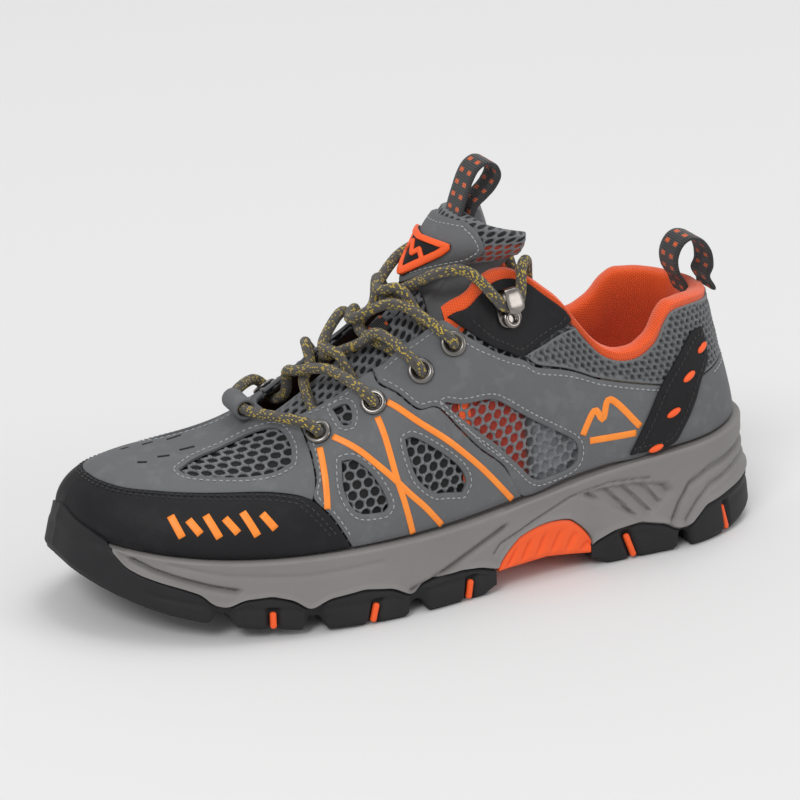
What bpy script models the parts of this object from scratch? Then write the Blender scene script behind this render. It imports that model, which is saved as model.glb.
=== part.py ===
# Low-cut left hiking shoe, sizes in millimetres inside this file and metres in the model.
# Toe toward -X, heel toward +X, lateral (outer) side toward -Y, the floor at Z = 0.
import bpy
import bmesh
import numpy as np
from mathutils import Matrix, Vector, geometry

for old in list(bpy.data.objects):
    bpy.data.objects.remove(old, do_unlink=True)

MM = 0.001
BODY = bpy.data.collections.new("hiking_shoe")
bpy.context.scene.collection.children.link(BODY)
LATERAL = -1
MEDIAL = 1
# Puts the middle of the overall box over X = Y = 0.
RECENTRE = (-2.0, 0.9, 0.0)
# Points closer than this are one, in metres.
MERGE_WITHIN = 2e-6
# Where the moving pieces turn, in millimetres on the last: each piece has its origin on its joint's axis.
TONGUE_FLEX = (0.5, 0.0, 121.8)
TONGUE_LOOP_SEAM = (22.6, 0.0, 147.0)
HEEL_LOOP_SEAM = (125.8, 0.0, 102.8)
# The cord, its tips, and the holes it runs through.
LACE_RADIUS = 2.2
TIP_RADIUS = 1.9
TIP_LENGTH = 16.0
TIP_GAP = 0.4
EYELET_HOLE = 3.9
LOOP_BORE = 3.0
LOOP_WALL = 1.3
LOOP_HALF = 7.0

# ---- Colours and finishes -------------------------------------------------------------------
FINISH = {
    "grey_leather": (0.115, 0.117, 0.121, 0.62, 0.0),
    "black_leather": (0.026, 0.026, 0.028, 0.58, 0.0),
    "grey_mesh": (0.075, 0.076, 0.079, 0.9, 0.0),
    "orange_mesh": (0.9, 0.09, 0.02, 0.85, 0.0),
    "orange_plastic": (0.92, 0.13, 0.025, 0.4, 0.0),
    "black_rubber": (0.03, 0.03, 0.032, 0.8, 0.0),
    "foam_rubber": (0.2, 0.187, 0.18, 0.78, 0.0),
    "black_webbing": (0.02, 0.02, 0.022, 0.85, 0.0),
    "lace_textile": (0.1, 0.09, 0.06, 0.9, 0.0),
    "lace_tip_plastic": (0.02, 0.02, 0.02, 0.35, 0.0),
    "gunmetal": (0.22, 0.21, 0.2, 0.3, 1.0),
    "insole_board": (0.5, 0.47, 0.42, 0.9, 0.0),
}


def material(slot):
    made = bpy.data.materials.get(slot)
    if made:
        return made
    red, green, blue, rough, metal = FINISH[slot]
    made = bpy.data.materials.new(slot)
    made.use_nodes = True
    shader = made.node_tree.nodes["Principled BSDF"]
    shader.inputs["Base Color"].default_value = (red, green, blue, 1.0)
    shader.inputs["Roughness"].default_value = rough
    shader.inputs["Metallic"].default_value = metal
    return made


def placed_at(spot):
    """A spot on the last, in millimetres, as a place in the model, in metres."""
    return Vector([float(c + m) * MM for c, m in zip(spot, RECENTRE)])


def solid(name, points, faces, slot, pivot=None):
    """One closed body from points in millimetres, its faces turned outward; its origin is the pivot."""
    origin = placed_at(pivot) if pivot else Vector((0.0, 0.0, 0.0))
    mesh = bpy.data.meshes.new(name)
    mesh.from_pydata([placed_at(p) - origin for p in points], [], faces)
    work = bmesh.new()
    work.from_mesh(mesh)
    bmesh.ops.remove_doubles(work, verts=work.verts, dist=MERGE_WITHIN)
    bmesh.ops.dissolve_degenerate(work, edges=work.edges, dist=MERGE_WITHIN)
    bmesh.ops.triangulate(work, faces=work.faces, quad_method="SHORT_EDGE")
    bmesh.ops.recalc_face_normals(work, faces=work.faces)
    work.to_mesh(mesh)
    work.free()
    made = bpy.data.objects.new(name, mesh)
    made.location = origin
    mesh.materials.append(material(slot))
    BODY.objects.link(made)
    return made


def standing(centre, up, axis):
    """The matrix of a piece that stands on a spot with its Z along the axis and its Y toward up."""
    across = np.cross(up, axis)
    turn = Matrix([list(across), list(up), list(axis)]).transposed().to_4x4()
    return Matrix.Translation(placed_at(centre)) @ turn


def turned(name, profile, turns, place, slot):
    """A profile of (radius, height) in millimetres, down its outer side, screwed round its own Z."""
    mesh = bpy.data.meshes.new(name)
    closed = min(radius for radius, height in profile) > 0
    edges = [(i, i + 1) for i in range(len(profile) - 1)]
    if closed:
        edges.append((len(profile) - 1, 0))
    mesh.from_pydata([(radius * MM, 0.0, height * MM) for radius, height in profile], edges, [])
    mesh.materials.append(material(slot))
    made = bpy.data.objects.new(name, mesh)
    made.matrix_world = place
    BODY.objects.link(made)
    screw = made.modifiers.new("turn", "SCREW")
    screw.steps = turns
    screw.render_steps = turns
    screw.use_merge_vertices = True
    screw.merge_threshold = MERGE_WITHIN
    return made


# ---- The last: one rib of the upper per station, from the feather line up to the ridge ---------
# Station 0 is the toe tip and station 19 the middle of the heel, on either side.
FEATHER_LATERAL = [(-144, 10), (-141, -5), (-132, -19), (-118, -31), (-100, -40), (-80, -45.5), (-60, -48),
                   (-40, -48.5), (-20, -47.5), (0, -45), (20, -42), (40, -39.5), (60, -37.5), (80, -36.5),
                   (100, -35.5), (115, -33), (128, -27), (138, -18.5), (143.5, -9.5), (145, 0)]
FEATHER_MEDIAL = [(-144, 10), (-143, 21), (-136, 31), (-123, 39), (-104, 44), (-82, 46.5), (-61, 46),
                  (-40, 43.5), (-20, 40), (0, 36), (20, 32.5), (40, 30.5), (60, 30.5), (80, 32),
                  (100, 33), (115, 31.5), (128, 26.5), (138, 18.5), (143.5, 9.5), (145, 0)]
FEATHER_HEIGHT = [37, 36.3, 35, 33.2, 31.6, 30.5, 30, 30, 30.3, 31.2, 33, 35.8, 39, 41.5, 43.2, 44.2, 45, 45.8,
                  46.4, 46.7]
TOP_X = [-117, -116, -112, -105, -94, -77, -58, -39, -20, -2, 13, 28, 44, 64, 86, 103, 117, 124.5, 127.5, 128]
TOP_Y_LATERAL = [9, 9, 9, 9, 8, 7, 5, 3, 1, 0, -2, -9, -18, -25, -27, -25, -19, -12, -5, 0]
TOP_Y_MEDIAL = [9, 9, 9, 9, 8, 7, 5, 3, 1, 0, 2, 9, 18, 24, 26, 24, 19, 12, 5, 0]
TOP_HEIGHT = [61, 61, 61, 61.4, 63, 67, 76, 90, 107, 124, 137, 142, 138, 133, 128, 124, 121, 119, 118.5, 118]
RISE_SHARE = [.50, .50, .52, .55, .55, .52, .50, .48, .46, .45, .45, .45, .45, .4, .36, .34, .32, .3, .3, .3]
SIDE_BULGE = [-3, -3, -3, -3, -3, -3, -3, -3, -2.5, -2, -1, -1, -1, -2, -3, -2, 0, 2, 4, 5]
TOP_REACH = [.62, .62, .62, .60, .58, .58, .58, .58, .58, .60, .60, .45, .3, .2, .2, .2, .2, .2, .2, .2]
TOE_SPRING = [25, 22.5, 17.5, 12, 7.5, 4, 1.5, .3, 0, 0, 0, 0, 0, 0, 0, 0, .5, 2, 4, 5]
SOLE_FLARE = [6, 6, 6, 6.5, 7, 7, 7, 6.8, 6.2, 5.5, 4.8, 4.2, 3.8, 3.8, 4, 4.6, 5.5, 7, 8.5, 9]
SOLE_RIM = 3.0
LAST_STATION = 19.0


def spline(table, station):
    """Catmull-Rom through a table with one value per station."""
    v = np.asarray(table, float)
    n = len(v)
    s = np.clip(np.asarray(station, float), 0, n - 1)
    i = np.minimum(s.astype(int), n - 2)
    f = s - i

    def entry(j):
        low = 2 * v[0] - v[np.clip(-j, 0, n - 1)]
        high = 2 * v[n - 1] - v[np.clip(2 * (n - 1) - j, 0, n - 1)]
        return np.where(j < 0, low, np.where(j > n - 1, high, v[np.clip(j, 0, n - 1)]))

    a, b, c, d = entry(i - 1), entry(i), entry(i + 1), entry(i + 2)
    return .5 * (2 * b + (c - a) * f + (2 * a - 5 * b + 4 * c - d) * f * f + (3 * b - a - 3 * c + d) * f ** 3)


def last(u, t):
    """Point on the upper: u is the station, negative on the lateral side; t runs 0 (feather) to 1 (ridge)."""
    u, t = np.broadcast_arrays(np.asarray(u, float), np.asarray(t, float))
    k = np.abs(u)
    beyond = k > LAST_STATION
    k = np.where(beyond, 2 * LAST_STATION - k, k)
    lateral = (u < 0) != beyond
    fx = np.where(lateral, spline([p[0] for p in FEATHER_LATERAL], k), spline([p[0] for p in FEATHER_MEDIAL], k))
    fy = np.where(lateral, spline([p[1] for p in FEATHER_LATERAL], k), spline([p[1] for p in FEATHER_MEDIAL], k))
    ty = np.where(lateral, spline(TOP_Y_LATERAL, k), spline(TOP_Y_MEDIAL, k))
    foot = np.stack([fx, fy, spline(FEATHER_HEIGHT, k)], -1)
    top = np.stack([spline(TOP_X, k), ty, spline(TOP_HEIGHT, k)], -1)
    away = foot - top
    away[..., 2] = 0
    reach = np.linalg.norm(away, axis=-1, keepdims=True)
    away = away / np.maximum(reach, 1e-6)
    up = np.zeros_like(foot)
    up[..., 2] = 1
    rise = (top - foot)[..., 2:3]
    low = foot + up * spline(RISE_SHARE, k)[..., None] * rise - away * spline(SIDE_BULGE, k)[..., None]
    high = top + away * reach * spline(TOP_REACH, k)[..., None]
    ankle = np.clip((k - 10) / 2.5, 0, 1)[..., None]
    high = high * (1 - ankle) + (top - up * 0.35 * rise + away) * ankle
    t = t[..., None]
    return (1 - t) ** 3 * foot + 3 * (1 - t) ** 2 * t * low + 3 * (1 - t) * t * t * high + t ** 3 * top


def outward(u, t):
    """Unit outward normal of the upper; near the ridge it turns to the ridge's own normal."""
    u, t = np.broadcast_arrays(np.asarray(u, float), np.asarray(t, float))
    tt = np.minimum(t, 0.93)
    du = last(u + 0.1, tt) - last(u - 0.1, tt)
    dt = last(u, tt + 0.02) - last(u, tt - 0.02)
    n = np.cross(du, dt)
    n /= np.maximum(np.linalg.norm(n, axis=-1, keepdims=True), 1e-9)
    hull = last(u, tt) - np.stack([spline(TOP_X, np.minimum(np.abs(u), 2 * LAST_STATION - np.abs(u))) + 0 * t,
                                   0 * t, 20 + 0 * t], -1)
    n = np.where((n * hull).sum(-1, keepdims=True) < 0, -n, n)
    k = np.abs(u)
    tx = spline(TOP_X, k + .4) - spline(TOP_X, np.maximum(k - .4, 0))
    tz = spline(TOP_HEIGHT, k + .4) - spline(TOP_HEIGHT, np.maximum(k - .4, 0))
    crest = np.stack([-tz, 0 * tz, tx], -1)
    crest /= np.maximum(np.linalg.norm(crest, axis=-1, keepdims=True), 1e-9)
    share = np.clip((t - 0.86) / 0.14, 0, 1)[..., None] * (k < 10)[..., None]
    n = n * (1 - share) + crest * share
    return n / np.linalg.norm(n, axis=-1, keepdims=True)


def on_upper(u, t, lift=0.0):
    return last(u, t) + outward(u, t) * np.asarray(lift, float)[..., None]


def pattern(u, t):
    """The upper opened out flat like a cutting pattern, used only to lay out triangles."""
    u = np.asarray(u, float)
    t = np.asarray(t, float)
    foot = last(u, 0 * t)
    top = last(u, 0 * t + 1)
    away = foot - top
    away[..., 2] = 0
    away /= np.maximum(np.linalg.norm(away, axis=-1, keepdims=True), 1e-6)
    length = np.linalg.norm(foot - top, axis=-1, keepdims=True)
    return (top + away * (1 - t[..., None]) * length * 1.05)[..., :2]


def strip_pattern(u, t):
    return np.stack([np.asarray(u, float) * 16.0, np.asarray(t, float) * 85.0], -1)


CELL_U = 0.5
CELL_T = 0.125
EDGE_STEP = 10.0
CLEAR_OF_EDGE = 5.0
SLIVER = 0.4


def inside(point, loop):
    x, y = point
    hit = False
    for (x1, y1), (x2, y2) in zip(loop, loop[1:] + loop[:1]):
        if (y1 > y) != (y2 > y) and x < (x2 - x1) * (y - y1) / (y2 - y1) + x1:
            hit = not hit
    return hit


def divided(loop):
    """The outline with extra points where two corners are far apart on the upper."""
    out = []
    for a, b in zip(loop, loop[1:] + loop[:1]):
        gap = np.linalg.norm(last(a[0], a[1]) - last(b[0], b[1]))
        count = max(1, int(np.ceil(gap / EDGE_STEP)))
        for i in range(count):
            f = i / count
            out.append((a[0] + (b[0] - a[0]) * f, a[1] + (b[1] - a[1]) * f))
    return out


def panel(name, outline, low, high, slot, holes=(), chart=strip_pattern, surface=on_upper):
    """A sheet cut to an outline in (u, t), following the upper between two heights above it."""
    rings = [divided(list(outline))] + [divided(list(h)) if len(h) < 8 else list(h) for h in holes]
    uv = []
    edges = []
    for ring in rings:
        start = len(uv)
        uv += ring
        edges += [(start + i, start + (i + 1) % len(ring)) for i in range(len(ring))]
    us = [p[0] for p in rings[0]]
    ts = [p[1] for p in rings[0]]
    placed = [surface(p[0], p[1], 0.0) for p in uv]
    for u in np.arange(np.floor(min(us) / CELL_U) * CELL_U, max(us), CELL_U):
        for t in np.arange(CELL_T / 2, 1.0 + CELL_T / 2, CELL_T):
            t = min(t, 1.0)
            if not inside((u, t), rings[0]) or any(inside((u, t), r) for r in rings[1:]):
                continue
            here = surface(u, t, 0.0)
            if min(np.linalg.norm(here - p) for p in placed) < CLEAR_OF_EDGE:
                continue
            uv.append((float(u), float(t)))
            placed.append(here)
    array = np.array(uv)
    flat = chart(array[:, 0], array[:, 1])
    tri = geometry.delaunay_2d_cdt([Vector(p) for p in flat], edges, [], 0, 1e-5, True)
    spots = tri[0]
    index = [o[0] for o in tri[3]]
    loops2d = [[tuple(flat[i]) for i in range(sum(len(r) for r in rings[:j]), sum(len(r) for r in rings[:j + 1]))]
               for j in range(len(rings))]
    keep = []
    for f in tri[2]:
        centre = tuple(sum(spots[i][c] for i in f) / 3 for c in (0, 1))
        a, b, c = (np.array(spots[i]) for i in f)
        area = abs((b - a)[0] * (c - a)[1] - (b - a)[1] * (c - a)[0]) / 2
        if area < SLIVER:
            continue
        if inside(centre, loops2d[0]) and not any(inside(centre, r) for r in loops2d[1:]):
            keep.append(tuple(index[i] for i in f))
    count = len(array)
    bottom = surface(array[:, 0], array[:, 1], np.full(count, low))
    top = surface(array[:, 0], array[:, 1], np.full(count, high))
    used = {}
    for f in keep:
        for a, b in zip(f, f[1:] + f[:1]):
            used[(a, b)] = used.get((a, b), 0) + 1
    rim = [(a, b) for (a, b) in used if (b, a) not in used]
    faces = [tuple(f) for f in keep]
    faces += [tuple(i + count for i in reversed(f)) for f in keep]
    faces += [(b, a, a + count, b + count) for a, b in rim]
    points = list(top) + list(bottom)
    return solid(name, points, faces, slot)


def round_hole(u, t, radius, count=12):
    """A true circle on the upper about one spot, as outline points in (u, t)."""
    du = (last(u + .05, t) - last(u - .05, t)) / .1
    dt = (last(u, t + .01) - last(u, t - .01)) / .02
    jac = np.stack([du, dt], -1)
    e1 = du / np.linalg.norm(du)
    e2 = dt - e1 * (dt @ e1)
    e2 /= np.linalg.norm(e2)
    ring = []
    for i in range(count):
        angle = 2 * np.pi * i / count
        step = radius * (np.cos(angle) * e1 + np.sin(angle) * e2)
        move = np.linalg.lstsq(jac, step, rcond=None)[0]
        ring.append((float(u + move[0]), float(t + move[1])))
    return ring


def lateral(outline):
    return [(-k, t) for k, t in outline]


# ---- Levels through the upper, measured from its outer face -----------------------------------
SKIN = (-1.2, 0.0)
BASE = (-3.3, -1.9)
OVERLAY = (0.45, 1.55)
HEM = 0.016

# ---- Outlines shared by neighbours, stations first; each pair keeps a small seam gap ----------
SEAM_K = 0.018
SEAM_T = 0.0035
CAP_EDGE = [(0.6, .605), (1.2, .60), (2, .58), (2.65, .57), (3.3, .55), (4.05, .52), (4.95, .47), (5.6, .39),
            (5.95, .32)]
CAP_TAIL = [(6.25, .21), (6.5, .09), (6.65, HEM)]
QUARTER_SEAM = [(7.66, .705), (7.7, .63), (7.95, .55), (8.3, .44), (8.7, .40), (9.1, .30), (9.55, .205), (10.1, .12),
                (10.5, HEM)]
EYELETS = [(6.4, .63), (7.5, .58), (8.5, .55), (9.25, .55)]
HOOK_SPOT = (10.7, .60)


def shifted(line, dk, dt=0.0):
    return [(k + dk, t + dt) for k, t in line]


def holes_at(spots, side, radius=EYELET_HOLE):
    return [round_hole(side * k, t, radius) for k, t in spots]


TOE_WINDOW = [(3.55, .74), (4, .81), (4.6, .845), (5.3, .86), (5.75, .80), (5.85, .66), (5.75, .56), (5.3, .555),
              (4.5, .61), (3.75, .68)]
SMALL_WINDOW = [(6.78, .69), (7.03, .665), (7.08, .61), (7.0, .565), (6.85, .59)]
WINDOW_1 = [(6.65, .44), (6.9, .41), (7.22, .30), (7.45, .17), (7.35, .14), (6.9, .165), (6.68, .22), (6.58, .32)]
WINDOW_2 = [(7.95, .37), (8.12, .36), (8.5, .29), (9.05, .185), (9.2, .13), (9.1, .10), (8.75, .12), (8.45, .14),
            (8.12, .21), (7.98, .30)]
WINDOW_3 = [(8.86, .40), (9.3, .355), (10.0, .315), (10.75, .235), (11.45, .165), (11.8, .12), (11.82, .07),
            (11.65, .045), (11.15, .04), (10.8, .05), (10.4, .115), (9.95, .19), (9.45, .27), (8.98, .365)]

# ---- Toe cap: black reinforced leather wrapped round the toe --------------------------------------
cap = shifted(CAP_EDGE, 0, -SEAM_T) + shifted(CAP_TAIL, -SEAM_K)
cap_outline = [(-k, t) for k, t in cap] + [(-5.6, HEM), (-4.6, HEM), (-3.6, HEM), (-2.6, HEM), (-1.6, HEM),
                                           (-.8, HEM), (0, HEM), (.8, HEM), (1.6, HEM), (2.6, HEM), (3.6, HEM),
                                           (4.6, HEM), (5.6, HEM)]
cap_outline += [(k, t) for k, t in reversed(cap)] + [(0, .6015)]
panel("toe_cap", cap_outline, *SKIN, "black_leather", chart=pattern)

# ---- Vamp: grey leather across the toes, with a mesh window each side ----------------------------
vamp_side = shifted(CAP_EDGE, 0, SEAM_T) + [(6.1 - SEAM_K, .42), (6.15 - SEAM_K, .6), (6.12 - SEAM_K, .80),
                                            (5.9, .86), (5.78, .93)]
vamp_outline = [(0, .6085)] + [(-k, t) for k, t in vamp_side] + [(5.74, .99)]
vamp_outline += [(k, t) for k, t in reversed(vamp_side)]
panel("vamp", vamp_outline, *SKIN, "grey_leather", holes=[TOE_WINDOW, lateral(TOE_WINDOW)], chart=pattern)

for side, word in ((LATERAL, "lateral"), (MEDIAL, "medial")):
    def sided(line):
        return [(side * k, t) for k, t in line]

    # Side panel: the forward half of the eyestay, with two mesh windows below the first eyelets.
    outline = [(6.13 + SEAM_K, .79), (6.65, .75), (7, .73), (7.4, .72)] + shifted(QUARTER_SEAM, -SEAM_K)
    outline += [(9.6, HEM), (8.6, HEM), (7.6, HEM)] + shifted(list(reversed(CAP_TAIL)), SEAM_K)
    outline += [(5.97 + SEAM_K, .33), (6.1 + SEAM_K, .42), (6.15 + SEAM_K, .6)]
    openings = [sided(SMALL_WINDOW), sided(WINDOW_1), sided(WINDOW_2)] + holes_at(EYELETS[:2], side)
    panel("side_panel_" + word, sided(outline), *SKIN, "grey_leather", holes=openings)

    # Quarter: the rear half of the eyestay and the side of the heel.
    outline = shifted(QUARTER_SEAM, SEAM_K) + [(11.5, HEM), (12.5, HEM), (13.5 - SEAM_K, HEM)]
    outline += [(13.95 - SEAM_K, .17), (14.3 - SEAM_K, .31), (13.6, .325), (12.8, .35), (12.0, .375), (11.2, .378),
                (10.85, .405), (10.45, .425), (10, .465), (9.55, .545), (9.22, .635), (9.06, .655), (8.6, .67),
                (8.25, .69), (7.9, .69)]
    openings = [sided(WINDOW_3)] + holes_at(EYELETS[2:], side)
    panel("quarter_" + word, sided(outline), *SKIN, "grey_leather", holes=openings)

    # Ankle patch: smooth black leather under the lace hook.
    outline = [(9.26, .645), (9.6, .56), (10, .48), (10.5, .437), (10.88, .418), (11.5, .475), (12.2, .575),
               (12.42, .625), (12.3, .665), (11.8, .705), (11.6, .715), (11.25, .705), (10.65, .675), (10.2, .64),
               (9.75, .62), (9.45, .637)]
    panel("ankle_patch_" + word, sided(outline), *SKIN, "black_leather")

    # Heel strap: a diagonal band laid over the heel panels.
    outline = [(13.0, .03), (13.4, .17), (13.9, .34), (14.65, .49), (15.2, .58), (15.7, .60), (15.7, .52),
               (15.6, .42), (15.15, .33), (14.75, .22), (14.3, .10), (13.95, .03)]
    panel("heel_strap_" + word, sided(outline), *OVERLAY, "black_leather")


def past_heel(line):
    """A lateral line from the side round the heel and back along the medial side, as u beyond the heel."""
    return [(k, t) for k, t in line] + [(2 * LAST_STATION - k, t) for k, t in reversed(line)]


# ---- Heel counter panel and collar mesh, each one piece round the heel -------------------------------
counter_top = [(14.3 + SEAM_K, .31), (15.2, .335), (16.2, .37), (17.2, .40), (18.2, .42)]
counter = [(13.95 + SEAM_K, .17)] + counter_top
low_edge = [(13.5 + SEAM_K, HEM), (14.5, HEM), (15.5, HEM), (16.5, HEM), (17.5, HEM), (18.5, HEM)]
outline = past_heel(counter) + [(2 * LAST_STATION - k, t) for k, t in low_edge] + list(reversed(low_edge))
panel("heel_counter", outline, *SKIN, "grey_leather")

collar_low = [(11.0, .413), (11.25, .388), (12.0, .384), (12.8, .359), (13.6, .334), (14.3, .319), (15.2, .344),
              (16.2, .379), (17.2, .409), (18.2, .429)]
collar_high = [(10.92, .414), (11.55, .466), (12.25, .56), (12.44, .59), (12.56, .535), (12.8, .47),
               (13.15, .445), (13.55, .465), (14.05, .545), (14.4, .635), (14.8, .70), (15.5, .725), (16.5, .735),
               (17.5, .74), (18.5, .74)]
outline = past_heel(collar_high) + [(2 * LAST_STATION - k, t) for k, t in collar_low] + list(reversed(collar_low))
panel("collar_mesh", outline, *SKIN, "grey_mesh")

# ---- Base layer: mesh and lining as one sheet under every outer panel ----------------------------
side_edge = [(5.35, t) for t in (HEM, .13, .27, .4, .53, .66, .8, .93)]
outline = [(0, HEM), (-1, HEM), (-2, HEM), (-3, HEM), (-4, HEM), (-4.7, HEM)] + [(-k, t) for k, t in side_edge]
outline += [(5.35, 1.0)] + [(k, t) for k, t in reversed(side_edge)]
outline += [(4.7, HEM), (4, HEM), (3, HEM), (2, HEM), (1, HEM)]
panel("mesh_toe", outline, *BASE, "grey_mesh", chart=pattern)

for side, word in ((LATERAL, "lateral"), (MEDIAL, "medial")):
    outline = [(5.4, HEM), (6.4, HEM), (7.4, HEM), (8.4, HEM), (9.4, HEM), (10.4, HEM), (11.4, HEM), (12.6, HEM),
               (12.6, .2), (12.6, .38), (12.6, .535), (12.45, .615), (12.3, .655), (11.8, .69), (11.25, .69),
               (10.65, .66), (10.2, .63), (9.75, .61), (9.35, .63), (9.05, .65), (8.6, .66), (8.25, .68),
               (7.9, .68), (7.4, .71), (7, .72), (6.65, .74), (6.2, .77), (5.9, .84), (5.4, .93), (5.4, .7),
               (5.4, .4), (5.4, .2)]
    panel("mesh_" + word, [(side * k, t) for k, t in outline], *BASE, "grey_mesh",
          holes=holes_at(EYELETS, side))

stiffener_high = [(12.65, .38), (12.65, .51), (12.8, .46), (13.15, .43), (13.55, .45), (14.05, .53), (14.4, .62),
                  (14.8, .685), (15.5, .71), (16.5, .72), (17.5, .725), (18.5, .725)]
low_edge = [(12.65, .2), (12.65, HEM), (13.5, HEM), (14.5, HEM), (15.5, HEM), (16.5, HEM), (17.5, HEM),
            (18.5, HEM)]
outline = past_heel(stiffener_high) + [(2 * LAST_STATION - k, t) for k, t in low_edge] + list(reversed(low_edge))
panel("heel_stiffener", outline, *BASE, "grey_mesh")


# ---- Sole: lofted sections across the shoe, one per station ------------------------------------------
def plan_normal(k, side):
    table = FEATHER_LATERAL if side < 0 else FEATHER_MEDIAL
    xs = [p[0] for p in table]
    ys = [p[1] for p in table]
    dx = spline(xs, k + .05) - spline(xs, k - .05)
    dy = spline(ys, k + .05) - spline(ys, k - .05)
    n = np.array([-float(dy), float(dx)]) * side
    n /= np.linalg.norm(n)
    if k < 0.05 or k > LAST_STATION - 0.05:
        n = np.array([-1.0, 0.0]) if k < 1 else np.array([1.0, 0.0])
    return n


def wall(k, h, side, off=None):
    """Point on the sole's side wall; h runs 0 (tread) to 1 (feather line)."""
    table = FEATHER_LATERAL if side < 0 else FEATHER_MEDIAL
    x = float(spline([p[0] for p in table], k))
    y = float(spline([p[1] for p in table], k))
    low = max(0.0, float(spline(TOE_SPRING, k)))
    high = float(spline(FEATHER_HEIGHT, k))
    if off is None:
        off = SOLE_RIM + (float(spline(SOLE_FLARE, k)) - SOLE_RIM) * (1 - h)
    n = plan_normal(k, side)
    return np.array([x + n[0] * off, y + n[1] * off, low + (high - low) * h])


def sole_loft(name, stations, rows, slot):
    """rows(k) gives the section from the lateral outer edge inward as (h, off) pairs."""
    sections = []
    for k in stations:
        half = rows(k)
        left = [wall(k, h, LATERAL, off) for h, off in half]
        right = [wall(k, h, MEDIAL, off) for h, off in reversed(half)]
        sections.append(left + right)
    return loft(name, sections, slot)


def loft(name, sections, slot, pivot=None):
    """A closed body through rings of equal count, capped at both ends."""
    count = len(sections[0])
    points = [p for ring in sections for p in ring]
    faces = []
    total = len(sections)
    for s in range(total - 1):
        for i in range(count):
            j = (i + 1) % count
            faces.append((s * count + i, s * count + j, (s + 1) * count + j, (s + 1) * count + i))
    faces.append(tuple(reversed(range(count))))
    faces.append(tuple(range((total - 1) * count, total * count)))
    return solid(name, points, faces, slot, pivot)


RUBBER_TOP_K = [0, 1.2, 1.7, 2.0, 2.3, 2.6, 3.0, 3.4, 3.75, 3.95, 4.2, 4.5, 5.0, 5.4, 5.7, 6.1, 6.8, 7.4, 7.8,
                8.2, 8.9, 9.4, 9.75, 10, 12, 12.1, 12.6, 13.2, 13.8, 14.1, 14.5, 15, 16, 17.2, 18, 19]
RUBBER_TOP_H = [1.1, 1.1, 1.08, .93, .70, .62, .57, .53, .47, .32, .30, .44, .50, .43, .28, .42, .48, .42, .27,
                .40, .43, .36, .26, .25, .16, .20, .30, .35, .28, .20, .20, .36, .40, .41, .42, .42]
GROOVES = [4.1, 5.8, 7.95, 14.35]
GROOVE_HALF = 0.12
GROOVE_DEEP = 0.12
BUMPER_OUTER = 4.6
BUMPER_INNER = 2.0
LAYER_GAP = 0.022
SHANK_FROM = 9.8
SHANK_TO = 12.05


def rubber_top(k):
    return float(np.interp(k, RUBBER_TOP_K, RUBBER_TOP_H))


def interface(k):
    return min(rubber_top(k), 0.5)


def tread(k):
    """Height of the tread: the ground between grooves, raised in a groove."""
    near = min(abs(k - g) for g in GROOVES)
    return GROOVE_DEEP if near < GROOVE_HALF else 0.0


def groove_stations(low, high):
    out = []
    for g in GROOVES:
        if low < g < high:
            out += [g - GROOVE_HALF - .02, g - GROOVE_HALF + .02, g + GROOVE_HALF - .02, g + GROOVE_HALF + .02]
    return out


def rubber_rows(k):
    h = rubber_top(k)
    outer = BUMPER_OUTER if h > 1 else None
    return [(tread(k), None), (h, outer), (h, BUMPER_INNER), (interface(k), BUMPER_INNER)]


def upper_sole_rows(k):
    """The foam above the rubber: its underside, the step up beside a rubber rim, its wall and its top."""
    inner = BUMPER_INNER - 0.5
    low = interface(k) + LAYER_GAP
    shoulder = rubber_top(k) + LAYER_GAP
    if shoulder >= 1.0:
        return [(low, inner), (1.0, inner), (1.0, inner), (1.0, inner), (1.0, -3.0)]
    return [(low, inner), (shoulder, inner), (shoulder, None), (1.0, SOLE_RIM), (1.0, -3.0)]


def shank_rows(k):
    edge = np.clip(min(k - SHANK_FROM, SHANK_TO - k) / .5, 0, 1)
    low = .27 - .1 * np.clip((k - 11) / 1.05, 0, 1)
    return [(low, None), (.30 + .24 * edge, None), (.30 + .24 * edge, 1.6), (.30, 1.6)]


TOE_STATIONS = [0, .5, 1, 1.5, 1.85, 2.2, 2.6, 3, 3.4, 3.75, 3.9]
MID_STATIONS = [4.4, 4.7, 5.0, 5.4, 6.1, 6.8, 7.4, 8.3, 8.9, 9.4]
HEEL_STATIONS = [12.5, 13.2, 13.9, 15, 15.6, 16.2, 16.8, 17.4, 18, 18.5, 19]
forefoot = sorted(TOE_STATIONS + MID_STATIONS + groove_stations(0, 10) + [SHANK_FROM - .02])
hindfoot = sorted(HEEL_STATIONS + groove_stations(12, 19) + [SHANK_TO + .02])
shank = [SHANK_FROM + .02, 10.1, 10.5, 11.2, 11.7, SHANK_TO - .02]
sole_loft("outsole_forefoot", forefoot, rubber_rows, "black_rubber")
sole_loft("outsole_heel", hindfoot, rubber_rows, "black_rubber")
sole_loft("arch_shank", shank, shank_rows, "orange_plastic")


def midsole_rows(k):
    if SHANK_FROM - .02 < k < SHANK_TO + .02:
        edge = np.clip(min(k - SHANK_FROM, SHANK_TO - k) / .5, 0, 1)
        start = .30 + LAYER_GAP
        shelf = .30 + .24 * edge + LAYER_GAP
        return [(start, 1.2), (shelf, 1.2), (shelf, None), (1.0, SOLE_RIM), (1.0, -3.0)]
    return upper_sole_rows(k)


sole_loft("midsole", sorted(set(forefoot + shank + hindfoot)), midsole_rows, "foam_rubber")

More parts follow.
